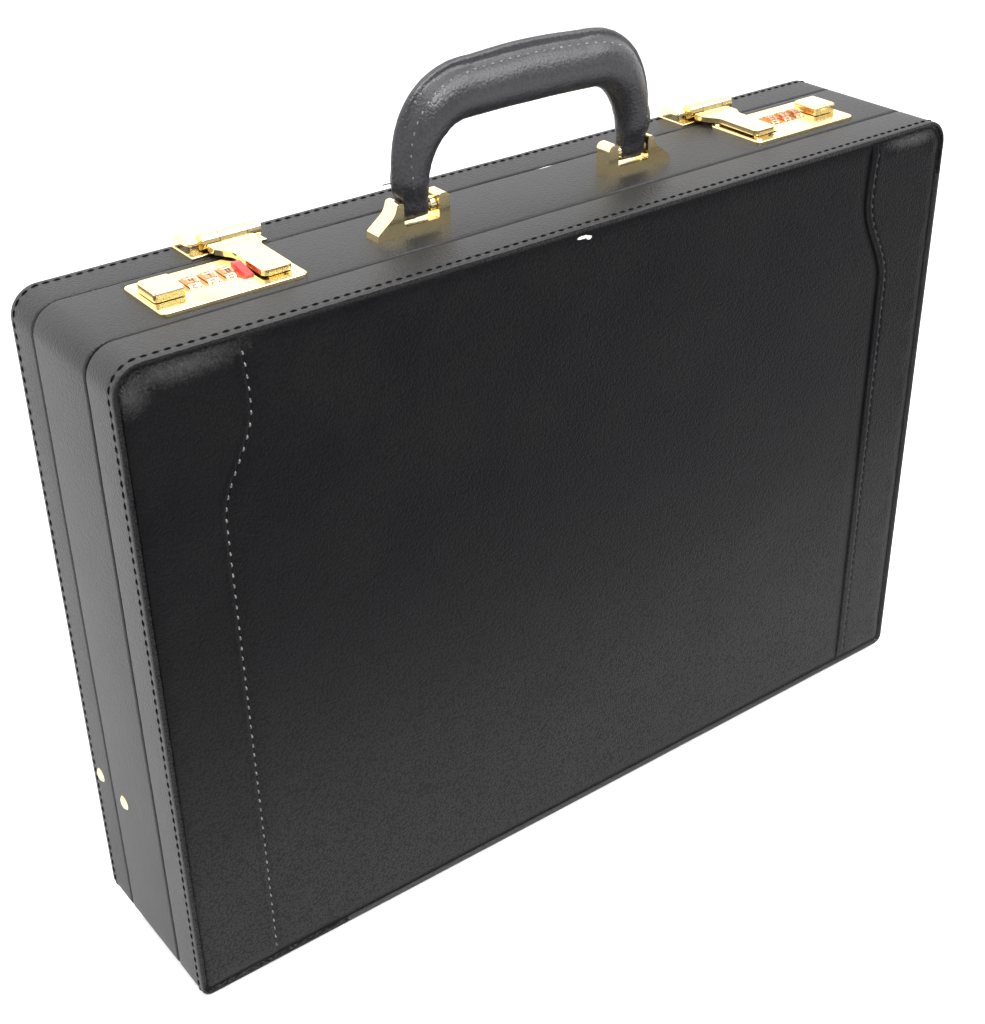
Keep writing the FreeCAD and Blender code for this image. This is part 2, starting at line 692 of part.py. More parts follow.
def moving_nodes():
    nodes = {}
    core = handle_core()
    grip = slab("XZ", handle_outline(), HANDLE_Y - 12, HANDLE_Y + 12)
    grip = at_handle(grip.common(slab("YZ", handle_side(), -80, 80)))
    nodes["handle_grip"] = grip.cut(core)
    nodes["handle_core"] = core
    for name, s in sides():
        nodes[name + "_hasp_arm"] = hasp_arm(s * HASP_X)
        nodes[name + "_button"] = button(s)
        nodes[name + "_stay_base_arm"] = base_stay_arm(s)
        nodes[name + "_stay_lid_arm"] = lid_stay_arm(s)
        for i in range(3):
            nodes["%s_dial_%d" % (name, i + 1)] = dial(s, i)
    return nodes


def main():
    for group in (base_nodes(), tray_nodes(), lid_nodes(), moving_nodes()):
        for name, shape in group.items():
            shape.exportStep("parts/%s.step" % name)


main()
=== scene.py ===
import math

import bmesh
import bpy
from mathutils import Matrix, Vector, noise

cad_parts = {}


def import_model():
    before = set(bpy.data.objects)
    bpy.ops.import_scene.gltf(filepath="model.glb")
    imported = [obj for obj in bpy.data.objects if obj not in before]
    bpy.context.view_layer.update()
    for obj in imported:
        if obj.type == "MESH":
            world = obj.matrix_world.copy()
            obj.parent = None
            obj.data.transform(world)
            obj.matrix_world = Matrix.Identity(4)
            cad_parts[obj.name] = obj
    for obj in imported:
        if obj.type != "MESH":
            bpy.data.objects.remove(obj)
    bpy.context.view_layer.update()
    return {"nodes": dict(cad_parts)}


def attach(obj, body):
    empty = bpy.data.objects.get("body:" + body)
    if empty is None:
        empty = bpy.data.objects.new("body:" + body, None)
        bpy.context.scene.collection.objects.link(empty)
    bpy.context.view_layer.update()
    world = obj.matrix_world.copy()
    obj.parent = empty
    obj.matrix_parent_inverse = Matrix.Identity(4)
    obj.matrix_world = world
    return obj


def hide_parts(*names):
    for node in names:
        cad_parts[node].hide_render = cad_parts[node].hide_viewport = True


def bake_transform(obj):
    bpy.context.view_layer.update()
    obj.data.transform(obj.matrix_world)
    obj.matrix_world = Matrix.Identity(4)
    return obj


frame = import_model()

MM = 0.001

# The case in millimetres, as the CAD has it
WIDTH, BOTTOM, TOP = 457.0, 2.5, 323.5
FRONT, BACK = -47.0, 47.0
TRAY_REAR, BASE_FRONT, BASE_REAR, LID_FRONT = -23.9, -22.1, 24.4, 25.6
TOP_RADIUS, BOTTOM_RADIUS = 13.0, 5.0
INSIDE, SKIN = 6.2, 1.2
PANEL_EDGE, PANEL_SWELL, SWELL_LOW, SWELL_HIGH = 187.5, 16.0, 244.5, 292.5
RIM = 3.1
RIGHT_SHIFT = 2.4
HANDLE_X, HANDLE_Y = -3.6, -2.3
LINING_FACE = 41.4


# ---------------------------------------------------------------- mesh helpers

def make(name, verts, faces, body, material, nodes=(), sharp=40, ride=True):
    """A smooth-shaded mesh piece from millimetre points, on a CAD body unless ride is False."""
    mesh = bpy.data.meshes.new(name)
    mesh.from_pydata([tuple(c * MM for c in v) for v in verts], [], faces)
    bm = bmesh.new()
    bm.from_mesh(mesh)
    bmesh.ops.remove_doubles(bm, verts=bm.verts, dist=1e-6)
    bmesh.ops.recalc_face_normals(bm, faces=bm.faces)
    bm.to_mesh(mesh)
    bm.free()
    mesh.shade_smooth()
    mesh.set_sharp_from_angle(angle=math.radians(sharp))
    mesh.materials.append(material)
    obj = bpy.data.objects.new(name, mesh)
    bpy.context.scene.collection.objects.link(obj)
    if ride:
        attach(obj, body)
    if nodes:
        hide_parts(*nodes)
    return obj


def soften(points, steps=4):
    """Round the corners of a polyline of (a, b, radius); the two ends stay."""
    out = []
    count = len(points)
    for i, (a, b, r) in enumerate(points):
        here = Vector((a, b))
        if r <= 0:
            out.append(here)
            continue
        before = Vector(points[i - 1][:2])
        after = Vector(points[(i + 1) % count][:2])
        u = (before - here).normalized()
        v = (after - here).normalized()
        half = u.angle(v) / 2
        reach = r / math.tan(half)
        centre = here + (u + v).normalized() * (r / math.sin(half))
        start, end = here + u * reach - centre, here + v * reach - centre
        turn = start.angle_signed(end)
        for k in range(steps + 1):
            out.append(centre + Matrix.Rotation(-turn * k / steps, 2) @ start)
    return [(p.x, p.y) for p in out]


def corner_centres(inset):
    """Corner arcs of the case outline at an inset: centre, radius and first angle."""
    half, low, high = WIDTH / 2 - inset, BOTTOM + inset, TOP - inset
    top = max(TOP_RADIUS - inset, 1.2)
    bottom = max(BOTTOM_RADIUS - inset, 0.8)
    return [
        (-half + bottom, low + bottom, bottom, 180),
        (half - bottom, low + bottom, bottom, 270),
        (half - top, high - top, top, 0),
        (-half + top, high - top, top, 90),
    ]


def outline(inset, corner_steps=10, runs=(54, 38)):
    """Closed loop of (x, z, outward x, outward z) round the case."""
    arcs = []
    for cx, cz, r, first in corner_centres(inset):
        arc = []
        for k in range(corner_steps + 1):
            a = math.radians(first + 90 * k / corner_steps)
            arc.append((cx + r * math.cos(a), cz + r * math.sin(a), math.cos(a), math.sin(a)))
        arcs.append(arc)
    loop = []
    for i, arc in enumerate(arcs):
        loop += arc
        end, start = arc[-1], arcs[(i + 1) % 4][0]
        n = runs[i % 2]
        for k in range(1, n):
            t = k / n
            loop.append((end[0] + (start[0] - end[0]) * t, end[1] + (start[1] - end[1]) * t, end[2], end[3]))
    return loop


def outline_u(inset, z_top):
    """Open loop that leaves out everything above z_top, from left round the bottom to right."""
    loop = outline(inset)
    first = next(i for i, p in enumerate(loop) if p[2] > 0.99 and p[1] > z_top)
    last = max(i for i, p in enumerate(loop) if p[2] < -0.99 and p[1] > z_top)
    kept = loop[last + 1:] + loop[:first]
    start, end = kept[0], kept[-1]
    return [(start[0], z_top, -1, 0)] + kept + [(end[0], z_top, 1, 0)]


def rim_distance(x, z):
    """How far inside the rim of the face a point lies."""
    half, low, high = WIDTH / 2 - RIM, BOTTOM + RIM, TOP - RIM
    x = abs(x)
    if x > half - 9.9 and z > high - 9.9:
        return 9.9 - math.hypot(x - half + 9.9, z - high + 9.9)
    return min(half - x, high - z, z - low)


def wobble(x, y, z, scale, amount, seed=0.0):
    """Smooth unevenness up to about amount, over about scale millimetres."""
    return amount * noise.noise(Vector((x / scale + seed, y / scale, z / scale)))


def band(name, profile, body, material, nodes=(), uneven=0.0, path=outline, ride=True):
    """Sweep a closed profile of (inset, y) round the case."""
    loops = [path(inset) for inset, _ in profile]
    n, m = len(loops[0]), len(profile)
    closed = len(loops[0]) == len(outline(1.0))
    verts = []
    for (inset, y), loop in zip(profile, loops):
        for x, z, nx, nz in loop:
            push = wobble(x, y, z, 38.0, uneven) if inset < 0.6 else 0.0
            verts.append((x + nx * push, y, z + nz * push))
    faces = []
    for i in range(m):
        a, b = i * n, ((i + 1) % m) * n
        for j in range(n if closed else n - 1):
            k = (j + 1) % n
            faces.append((a + j, a + k, b + k, b + j))
    if not closed:
        faces.append(tuple(i * n for i in range(m)))
        faces.append(tuple(i * n + n - 1 for i in reversed(range(m))))
    return make(name, verts, faces, body, material, nodes, ride=ride)


def applied(obj):
    """Replace an object's mesh by its modified mesh."""
    graph = bpy.context.evaluated_depsgraph_get()
    mesh = bpy.data.meshes.new_from_object(obj.evaluated_get(graph))
    obj.modifiers.clear()
    old = obj.data
    obj.data = mesh
    bpy.data.meshes.remove(old)
    return obj


# ------------------------------------------------------------------- materials

class Nodes:
    """Short names for the shader nodes that the materials use."""

    def __init__(self, name):
        self.material = bpy.data.materials.new(name)
        self.material.use_nodes = True
        self.tree = self.material.node_tree
        self.shader = self.tree.nodes["Principled BSDF"]
        self.coords = self.add("ShaderNodeTexCoord").outputs["Object"]

    def add(self, kind, **values):
        node = self.tree.nodes.new(kind)
        for key, value in values.items():
            setattr(node, key, value)
        return node

    def link(self, a, b):
        self.tree.links.new(a, b)

    def noise(self, scale, detail=4.0, roughness=0.5, distortion=0.0, source=None):
        n = self.add("ShaderNodeTexNoise")
        n.inputs["Scale"].default_value = scale
        n.inputs["Detail"].default_value = detail
        n.inputs["Roughness"].default_value = roughness
        n.inputs["Distortion"].default_value = distortion
        self.link(source or self.coords, n.inputs["Vector"])
        return n.outputs["Fac"]

    def cells(self, scale, smooth, source):
        n = self.add("ShaderNodeTexVoronoi", feature="SMOOTH_F1")
        n.inputs["Scale"].default_value = scale
        n.inputs["Smoothness"].default_value = smooth
        self.link(source, n.inputs["Vector"])
        return n.outputs["Distance"]

    def math(self, operation, a, b):
        n = self.add("ShaderNodeMath", operation=operation)
        for socket, value in zip(n.inputs, (a, b)):
            if isinstance(value, float):
                socket.default_value = value
            else:
                self.link(value, socket)
        return n.outputs[0]

    def spread(self, value, low, high):
        """0 to 1 as value goes from low to high."""
        n = self.add("ShaderNodeMapRange", interpolation_type="SMOOTHSTEP")
        self.link(value, n.inputs["Value"])
        n.inputs["From Min"].default_value = low
        n.inputs["From Max"].default_value = high
        return n.outputs["Result"]

    def blend(self, factor, a, b):
        n = self.add("ShaderNodeMix", data_type="RGBA")
        self.link(factor, n.inputs["Factor"])
        for socket, value in ((n.inputs[6], a), (n.inputs[7], b)):
            if isinstance(value, tuple):
                socket.default_value = value + (1.0,)
            else:
                self.link(value, socket)
        return n.outputs[2]

    def bump(self, height, distance, strength=1.0, after=None):
        n = self.add("ShaderNodeBump")
        n.inputs["Distance"].default_value = distance
        n.inputs["Strength"].default_value = strength
        self.link(height, n.inputs["Height"])
        if after is not None:
            self.link(after, n.inputs["Normal"])
        return n.outputs["Normal"]

    def use(self, **inputs):
        names = {
            "colour": "Base Color", "rough": "Roughness", "metal": "Metallic", "normal": "Normal",
            "specular": "Specular IOR Level", "coat": "Coat Weight",
            "sheen": "Sheen Weight", "sheen_rough": "Sheen Roughness",
        }
        for key, value in inputs.items():
            socket = self.shader.inputs[names[key]]
            if isinstance(value, tuple):
                socket.default_value = value + (1.0,)
            elif isinstance(value, float):
                socket.default_value = value
            else:
                self.link(value, socket)
        return self.material

    def near(self, point, size, fade=0.35):
        """1 inside a ragged blotch round a point and 0 outside; point and size in millimetres."""
        move = self.add("ShaderNodeVectorMath", operation="SUBTRACT")
        self.link(self.coords, move.inputs[0])
        move.inputs[1].default_value = [c * MM for c in point]
        scale = self.add("ShaderNodeVectorMath", operation="DIVIDE")
        self.link(move.outputs[0], scale.inputs[0])
        scale.inputs[1].default_value = [c * MM for c in size]
        length = self.add("ShaderNodeVectorMath", operation="LENGTH")
        self.link(scale.outputs[0], length.inputs[0])
        ragged = self.math("ADD", length.outputs["Value"], self.math("MULTIPLY", self.noise(900.0), 0.9))
        return self.spread(ragged, 1.5, 1.5 - fade)


def leather(name, dark, light, grain, rough, depth, shine, pale_marks=(), painted_floor_reflection=0.0, crumples=()):
    """Fine-grained dyed leather: pebbled, mottled, with pale painted marks, a painted floor reflection
    lightening it low down, and glossy crumples.
    """
    n = Nodes(name)
    warp = n.add("ShaderNodeMixRGB", blend_type="ADD")
    warp.inputs[0].default_value = 0.0012
    n.link(n.coords, warp.inputs[1])
    wander = n.add("ShaderNodeTexNoise")
    wander.inputs["Scale"].default_value = 260.0
    n.link(n.coords, wander.inputs["Vector"])
    n.link(wander.outputs["Color"], warp.inputs[2])
    pebble = n.cells(grain, 0.5, warp.outputs[0])
    fine = n.noise(grain * 1.9, 3.0, 0.6)
    broad = n.noise(22.0, 3.0, 0.55)
    mottled = n.spread(broad, 0.3, 0.72)
    colour = n.blend(mottled, dark, light)
    # Painted floor reflection: the colour is lightened towards the bottom, standing in for light bounced up
    # from the floor.
    if painted_floor_reflection:
        split = n.add("ShaderNodeSeparateXYZ")
        n.link(n.coords, split.inputs[0])
        low_down = n.spread(n.math("ADD", split.outputs["Z"], n.math("MULTIPLY", broad, 0.06)), 0.24, 0.0)
        colour = n.blend(low_down, colour, tuple(c + painted_floor_reflection for c in light))
    valley = n.spread(pebble, 0.25, 0.75)
    colour = n.blend(n.math("MULTIPLY", valley, 0.55), colour, tuple(c * 0.35 for c in dark))
    roughness = n.math("ADD", n.math("MULTIPLY", broad, 0.10), rough - 0.05)
    roughness = n.math("ADD", roughness, n.math("MULTIPLY", fine, 0.08))
    # Pale marks painted into the colour, with a rougher surface; the seam one is a painted glint of the metal
    # in the seam.
    for point, size in pale_marks:
        spot = n.near(point, size)
        colour = n.blend(spot, colour, (0.62, 0.60, 0.56))
        roughness = n.math("ADD", roughness, n.math("MULTIPLY", spot, 0.3))
    height = n.math("SUBTRACT", n.math("MULTIPLY", fine, 0.5), pebble)
    normal = n.bump(broad, 0.0004, 0.35)
    normal = n.bump(height, depth, 1.0, normal)
    for point, size in crumples:
        zone = n.near(point, size, 1.3)
        wrinkle = n.math("MULTIPLY", n.noise(520.0, 4.0, 0.7, 0.6), zone)
        normal = n.bump(wrinkle, 0.0028, 1.0, normal)
        shine = n.math("ADD", shine, n.math("MULTIPLY", zone, 0.6))
        roughness = n.math("SUBTRACT", roughness, n.math("MULTIPLY", zone, 0.18))
    return n.use(colour=colour, rough=roughness, normal=normal, specular=shine)


def metal(name, colour, tint_and_shade_zone, rough, scratch=0.25):
    """Plated metal: faint clouding, fine hairline scratches and duller spots."""
    n = Nodes(name)
    cloud = n.noise(60.0, 3.0)
    stretch = n.add("ShaderNodeMapping")
    stretch.inputs["Scale"].default_value = (60.0, 900.0, 900.0)
    n.link(n.coords, stretch.inputs["Vector"])
    hair = n.noise(1.0, 2.0, 0.7, source=stretch.outputs[0])
    tint = n.blend(n.spread(cloud, 0.45, 0.8), colour, tint_and_shade_zone)
    roughness = n.math("ADD", n.math("MULTIPLY", cloud, 0.10), rough - 0.05)
    roughness = n.math("ADD", roughness, n.math("MULTIPLY", n.spread(hair, 0.55, 0.8), 0.08))
    normal = n.bump(hair, 0.00002, scratch)
    return n.use(colour=tint, rough=roughness, metal=1.0, normal=normal)


def cloth(name, dark, light, pitch, rough=0.9, sheen=0.3, nap=False):
    """Woven cloth or, with nap, a suede-like pile."""
    n = Nodes(name)
    if nap:
        pile = n.noise(1800.0, 4.0, 0.7)
        strokes = n.noise(35.0, 3.0, 0.6, 0.8)
        colour = n.blend(n.spread(strokes, 0.35, 0.7), dark, light)
        colour = n.blend(n.math("MULTIPLY", pile, 0.35), colour, tuple(c * 0.5 for c in dark))
        normal = n.bump(pile, 0.00012, 0.7)
    else:
        waves = []
        for axis in ("X", "Z"):
            w = n.add("ShaderNodeTexWave", bands_direction=axis)
            w.inputs["Scale"].default_value = 1.0 / (pitch * 20.0)
            w.inputs["Distortion"].default_value = 0.4
            n.link(n.coords, w.inputs["Vector"])
            waves.append(w.outputs["Fac"])
        weave = n.math("MULTIPLY", waves[0], waves[1])
        colour = n.blend(weave, dark, light)
        normal = n.bump(weave, 0.0001, 0.8)
    return n.use(colour=colour, rough=rough, normal=normal, sheen=sheen, sheen_rough=0.4)


def wood(name):
    """Plywood edge and face with long grain along the case."""
    n = Nodes(name)
    stretch = n.add("ShaderNodeMapping")
    stretch.inputs["Scale"].default_value = (14.0, 220.0, 60.0)
    n.link(n.coords, stretch.inputs["Vector"])
    grain = n.noise(1.0, 5.0, 0.6, 0.4, stretch.outputs[0])
    colour = n.blend(n.spread(grain, 0.3, 0.7), (0.42, 0.27, 0.15), (0.66, 0.49, 0.31))
    return n.use(colour=colour, rough=0.62, normal=n.bump(grain, 0.0001, 0.4))


def plastic(name, colour, dark):
    """Slightly clouded, glossy plastic or ink."""
    n = Nodes(name)
    cloud = n.noise(90.0, 2.0)
    tint = n.blend(n.spread(cloud, 0.4, 0.7), colour, dark)
    return n.use(colour=tint, rough=0.28, coat=0.3, normal=n.bump(n.noise(700.0), 0.00003, 0.3))


def thread_material(name, colour, rough, shine=0.5):
    """Twisted thread."""
    n = Nodes(name)
    twist = n.add("ShaderNodeTexWave", bands_direction="DIAGONAL")
    twist.inputs["Scale"].default_value = 190.0
    n.link(n.coords, twist.inputs["Vector"])
    tint = n.blend(twist.outputs["Fac"], colour, tuple(c * 0.4 for c in colour))
    return n.use(colour=tint, rough=rough, specular=shine, normal=n.bump(twist.outputs["Fac"], 0.0001, 0.7))


# Pale marks painted near the top middle of the front face.
FRONT_PALE_MARK = [((-6.5, -46.5, 318.4), (3.4, 2.2, 0.8)), ((-3.2, -46.5, 317.7), (1.6, 2.2, 1.0))]
CRUMPLES = [((-223.0, -46.0, 313.0), (12.0, 9.0, 13.0)), ((-200.0, -46.0, 318.0), (34.0, 9.0, 9.0)),
            ((204.0, -46.0, 318.0), (24.0, 9.0, 5.0))]
# Pale spot painted on the band at the lid seam: a painted glint of the metal showing in the seam.
SEAM_GLINT = [((27.5, 24.0, 323.3), (4.5, 1.2, 1.0))]

CASE = leather("case_leather", (0.007, 0.007, 0.008), (0.011, 0.011, 0.0115), 900.0, 0.46, 0.00022, 0.45,
               pale_marks=SEAM_GLINT)
# Face leather: a darker copy of the band leather, painted shade for the faces, lightened low down by a painted
# floor reflection.
SHADED_PANEL = leather("panel_leather_painted_shade", (0.0022, 0.0022, 0.003), (0.0045, 0.0045, 0.005), 900.0, 0.38, 0.00022, 0.07,
                pale_marks=FRONT_PALE_MARK, painted_floor_reflection=0.020, crumples=CRUMPLES)
# Very dark leather for the crease between band and face: painted shade.
CREASE_SHADE = leather("crease_painted_shade", (0.0015, 0.0015, 0.0015), (0.003, 0.003, 0.003), 700.0, 0.30, 0.0005, 0.2)
GRIP = leather("handle_leather", (0.014, 0.014, 0.017), (0.024, 0.024, 0.028), 850.0, 0.34, 0.00016, 0.55)
POCKET = leather("pocket_leather", (0.016, 0.015, 0.015), (0.026, 0.024, 0.023), 1000.0, 0.5, 0.00008, 0.4)
THREAD = thread_material("black_thread", (0.010, 0.010, 0.011), 0.42)
# Thread painted darker than the black thread: painted shade for stitches sunk in the band's groove.
SHADED_THREAD = thread_material("thread_painted_shade", (0.003, 0.003, 0.003), 0.9, 0.05)
# Black thread coloured light grey: painted highlight for stitches that catch the light.
GLINT_THREAD = thread_material("thread_painted_highlight", (0.14, 0.14, 0.15), 0.3)
BRASS = metal("polished_brass", (0.96, 0.80, 0.45), (0.90, 0.70, 0.34), 0.17)
SATIN = metal("satin_brass", (0.80, 0.66, 0.40), (0.66, 0.52, 0.30), 0.34, 0.5)
COPPER = metal("copper_plate", (0.70, 0.37, 0.23), (0.52, 0.25, 0.15), 0.26)
STEEL = metal("zinc_steel", (0.56, 0.56, 0.55), (0.42, 0.42, 0.42), 0.4, 0.6)
SUEDE = cloth("lining_suede", (0.125, 0.088, 0.060), (0.165, 0.119, 0.082), 1.0, nap=True, sheen=0.35)
CANVAS = cloth("gusset_cloth", (0.008, 0.008, 0.008), (0.022, 0.022, 0.022), 0.0009)
PLY = wood("plywood")
RED = plastic("red_tab", (0.80, 0.025, 0.02), (0.62, 0.015, 0.015))
INK = plastic("dial_ink", (0.015, 0.013, 0.012), (0.03, 0.025, 0.02))


# ---------------------------------------------------------------------- thread

STITCH_RINGS = [(-1.0, 0.25), (-0.82, 0.75), (-0.35, 1.0), (0.35, 1.0), (0.82, 0.75), (1.0, 0.25)]


def stitches(name, rail, pitch, body, length=None, width=0.42, tilt=6.0, closed=False, thread=None):
    """Separate sunk stitches along a rail of (point, outward normal), in millimetres."""
    length = length or pitch * 0.74
    points = [Vector(p) for p, _ in rail]
    normals = [Vector(q).normalized() for _, q in rail]
    if closed:
        points.append(points[0])
        normals.append(normals[0])
    run = [0.0]
    for a, b in zip(points, points[1:]):
        run.append(run[-1] + (b - a).length)
    count = int(run[-1] / pitch)
    pitch = run[-1] / count
    verts, faces, at = [], [], 0
    for k in range(count):
        s = (k + 0.5) * pitch
        while run[at + 1] < s:
            at += 1
        t = (s - run[at]) / (run[at + 1] - run[at])
        p = points[at].lerp(points[at + 1], t)
        out = normals[at].lerp(normals[at + 1], t).normalized()
        along = (points[at + 1] - points[at]).normalized()
        across = out.cross(along).normalized()
        along = (along + across * math.tan(math.radians(tilt))).normalized()
        across = out.cross(along).normalized()
        first = len(verts)
        for u, size in STITCH_RINGS:
            centre = p + along * (u * length / 2) + out * (0.16 - 0.62 * u * u)
            for q in range(6):
                a = math.pi * q / 3
                verts.append(centre + across * (width * size * math.cos(a)) + out * (0.34 * size * math.sin(a)))
        for i in range(len(STITCH_RINGS) - 1):
            for q in range(6):
                r = (q + 1) % 6
                at_ring = first + i * 6
                faces.append((at_ring + q, at_ring + r, at_ring + 6 + r, at_ring + 6 + q))
        last = first + (len(STITCH_RINGS) - 1) * 6
        faces.append(tuple(first + q for q in reversed(range(6))))
        faces.append(tuple(last + q for q in range(6)))
    return make(name, verts, faces, body, thread or THREAD, sharp=60)


def outline_rail(inset, y):
    """Stitch rail all round the case at one y."""
    return [((x, y, z), (nx, 0, nz)) for x, z, nx, nz in outline(inset)]


# ----------------------------------------------------------------- outer bands

def shell_band(name, seam, outer, body, node):
    """Leather round one shell: turned in at the seam and over the rim of the face."""
    s = 1 if outer > 0 else -1
    row = outer - s * 3.5
    profile = soften([
        (0.0, seam, 1.0),
        (0.0, row + s * -1.0, 0.7),
        (0.22, row, 0.3),
        (0.0, row + s * 1.0, 0.6),
        (0.0, outer - s * 0.1, 0.8),
        (1.4, outer - s * 0.1, 0.5),
        (1.9, outer - s * 1.7, 0.2),
        (RIM + 1.0, outer - s * 1.8, 0.0),
        (RIM + 1.0, outer - s * 2.3, 0.0),
        (SKIN, outer - s * 2.3, 0.0),
        (SKIN, seam + s * SKIN, 0.0),
        (INSIDE, seam + s * SKIN, 0.0),
        (INSIDE, seam, 0.0),
    ])
    piece = band(name, profile, body, CASE, [node], uneven=0.10)
    # Lip faces over the face rim get the crease material, painted shade of the crease; along the top and the
    # left it runs wider over the lip.
    piece.data.materials.append(CREASE_SHADE)
    for face in piece.data.polygons:
        x, y, z = (c / MM for c in face.center)
        inside = rim_distance(x, z) + RIM
        tint_and_shade_zone = z > TOP - 30 or x < -WIDTH / 3
        if abs(y) > 46.2 and inside > 0.4 and tint_and_shade_zone or abs(y) > 44.8 and inside > (1.25 if tint_and_shade_zone else 2.4):
            face.material_index = 1
    # The band's stitch rows use the thread painted darker, as shade of the groove.
    stitches(name + "_stitches", outline_rail(0.05, row), 4.9, body, length=3.6, width=0.85, closed=True,
             thread=SHADED_THREAD)


shell_band("tray_band", TRAY_REAR, FRONT, "tray", "tray_leather")
shell_band("lid_band", LID_FRONT, BACK, "lid", "lid_leather")

base_profile = soften([
    (0.0, BASE_FRONT, 1.0),
    (0.0, BASE_REAR, 1.0),
    (INSIDE, BASE_REAR, 0.0),
    (INSIDE, BASE_REAR - SKIN, 0.0),
    (SKIN, BASE_REAR - SKIN, 0.0),
    (SKIN, BASE_FRONT + SKIN, 0.0),
    (INSIDE, BASE_FRONT + SKIN, 0.0),
    (INSIDE, BASE_FRONT, 0.0),
])
base_band = band("base_band", base_profile, "base", CASE, ["base_leather"], uneven=0.10)


def cutter(x0, x1, y0, y1, z0, z1):
    """Plain box that cuts a window and is then removed."""
    corners = [(x, y, z) for x in (x0, x1) for y in (y0, y1) for z in (z0, z1)]
    faces = [(0, 1, 3, 2), (4, 6, 7, 5), (0, 4, 5, 1), (2, 3, 7, 6), (0, 2, 6, 4), (1, 5, 7, 3)]
    return make("cutter", corners, faces, None, CASE, ride=False)


def open_windows(obj, boxes):
    """Cut rectangular windows through a piece."""
    for limits in boxes:
        tool = cutter(*limits)
        modifier = obj.modifiers.new("window", "BOOLEAN")
        modifier.object = tool
        modifier.operation = "DIFFERENCE"
        modifier.solver = "EXACT"
        applied(obj)
        bpy.data.objects.remove(tool)


open_windows(base_band, [(x0, x0 + 62.0, -15, 15, TOP - 3, TOP + 2) for x0 in (-190.5, 128.5)])


# ------------------------------------------------------------- expanding gusset

def gusset():
    """Cloth bellows between the base and the sliding tray, fullest along the top."""
    def loop(inset):
        return [(x, z + max(nz, 0) ** 4 * (inset * 0.87 - 0.1), nx, nz) for x, z, nx, nz in outline(inset)]

    folds = 9
    profile = []
    for k in range(folds):
        inset = 2.3 if k % 2 == 0 else 5.4
        profile.append((inset, BASE_FRONT + 0.5 - k * (BASE_FRONT - TRAY_REAR + 1.0) / (folds - 1)))
    back = [(inset + 0.35, y) for inset, y in reversed(profile)]
    piece = band("bellows", profile + back, "base", CANVAS, ["expansion_gusset"], path=loop,
                 ride=False)
    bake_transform(piece)


gusset()


# ---------------------------------------------------------------- face leathers

def panel_edge(z):
    """Where an end panel's inner edge runs at height z, as a distance from the middle."""
    share = min(max((z - SWELL_LOW) / (SWELL_HIGH - SWELL_LOW), 0), 1)
    above = max(z - SWELL_HIGH, 0)
    return PANEL_EDGE - PANEL_SWELL * (0.5 - 0.5 * math.cos(math.pi * share)) + 2.0 * (above / 28.0) ** 2


def rim_x(z):
    """Half-width of the face leather at height z."""
    half, low, high = WIDTH / 2 - RIM, BOTTOM + RIM, TOP - RIM
    for centre, r, beyond in ((high - 9.9, 9.9, z - (high - 9.9)), (low + 1.9, 1.9, low + 1.9 - z)):
        if beyond > 0:
            return half - r + math.sqrt(max(r * r - beyond * beyond, 0))
    return half


def ease(t):
    t = min(max(t, 0), 1)
    return t * t * (3 - 2 * t)


def roll(distance, radius):
    t = min(max(distance / radius, 0), 1)
    return math.sqrt(max(1 - (1 - t) ** 2, 0))


def bell(t, width):
    return math.exp(-(t / width) ** 2)


def steps(length, near, pitch):
    """Positions along a length, closer together at both ends."""
    middle = length - 2 * near[-1]
    count = max(int(middle / pitch), 1)
    inner = [near[-1] + middle * k / count for k in range(1, count)]
    return near + inner + [length - v for v in reversed(near)]


NEAR_RIM = [0, 0.15, 0.5, 1.1, 2.0, 3.2, 4.6, 6.2, 8.0]
ROWS = [BOTTOM + RIM + v for v in steps(TOP - BOTTOM - 2 * RIM, NEAR_RIM, 1.3)]


def grid_faces(rows, columns):
    faces = []
    for i in range(rows - 1):
        for j in range(columns - 1):
            a = i * columns + j
            faces.append((a, a + 1, a + columns + 1, a + columns))
    return faces


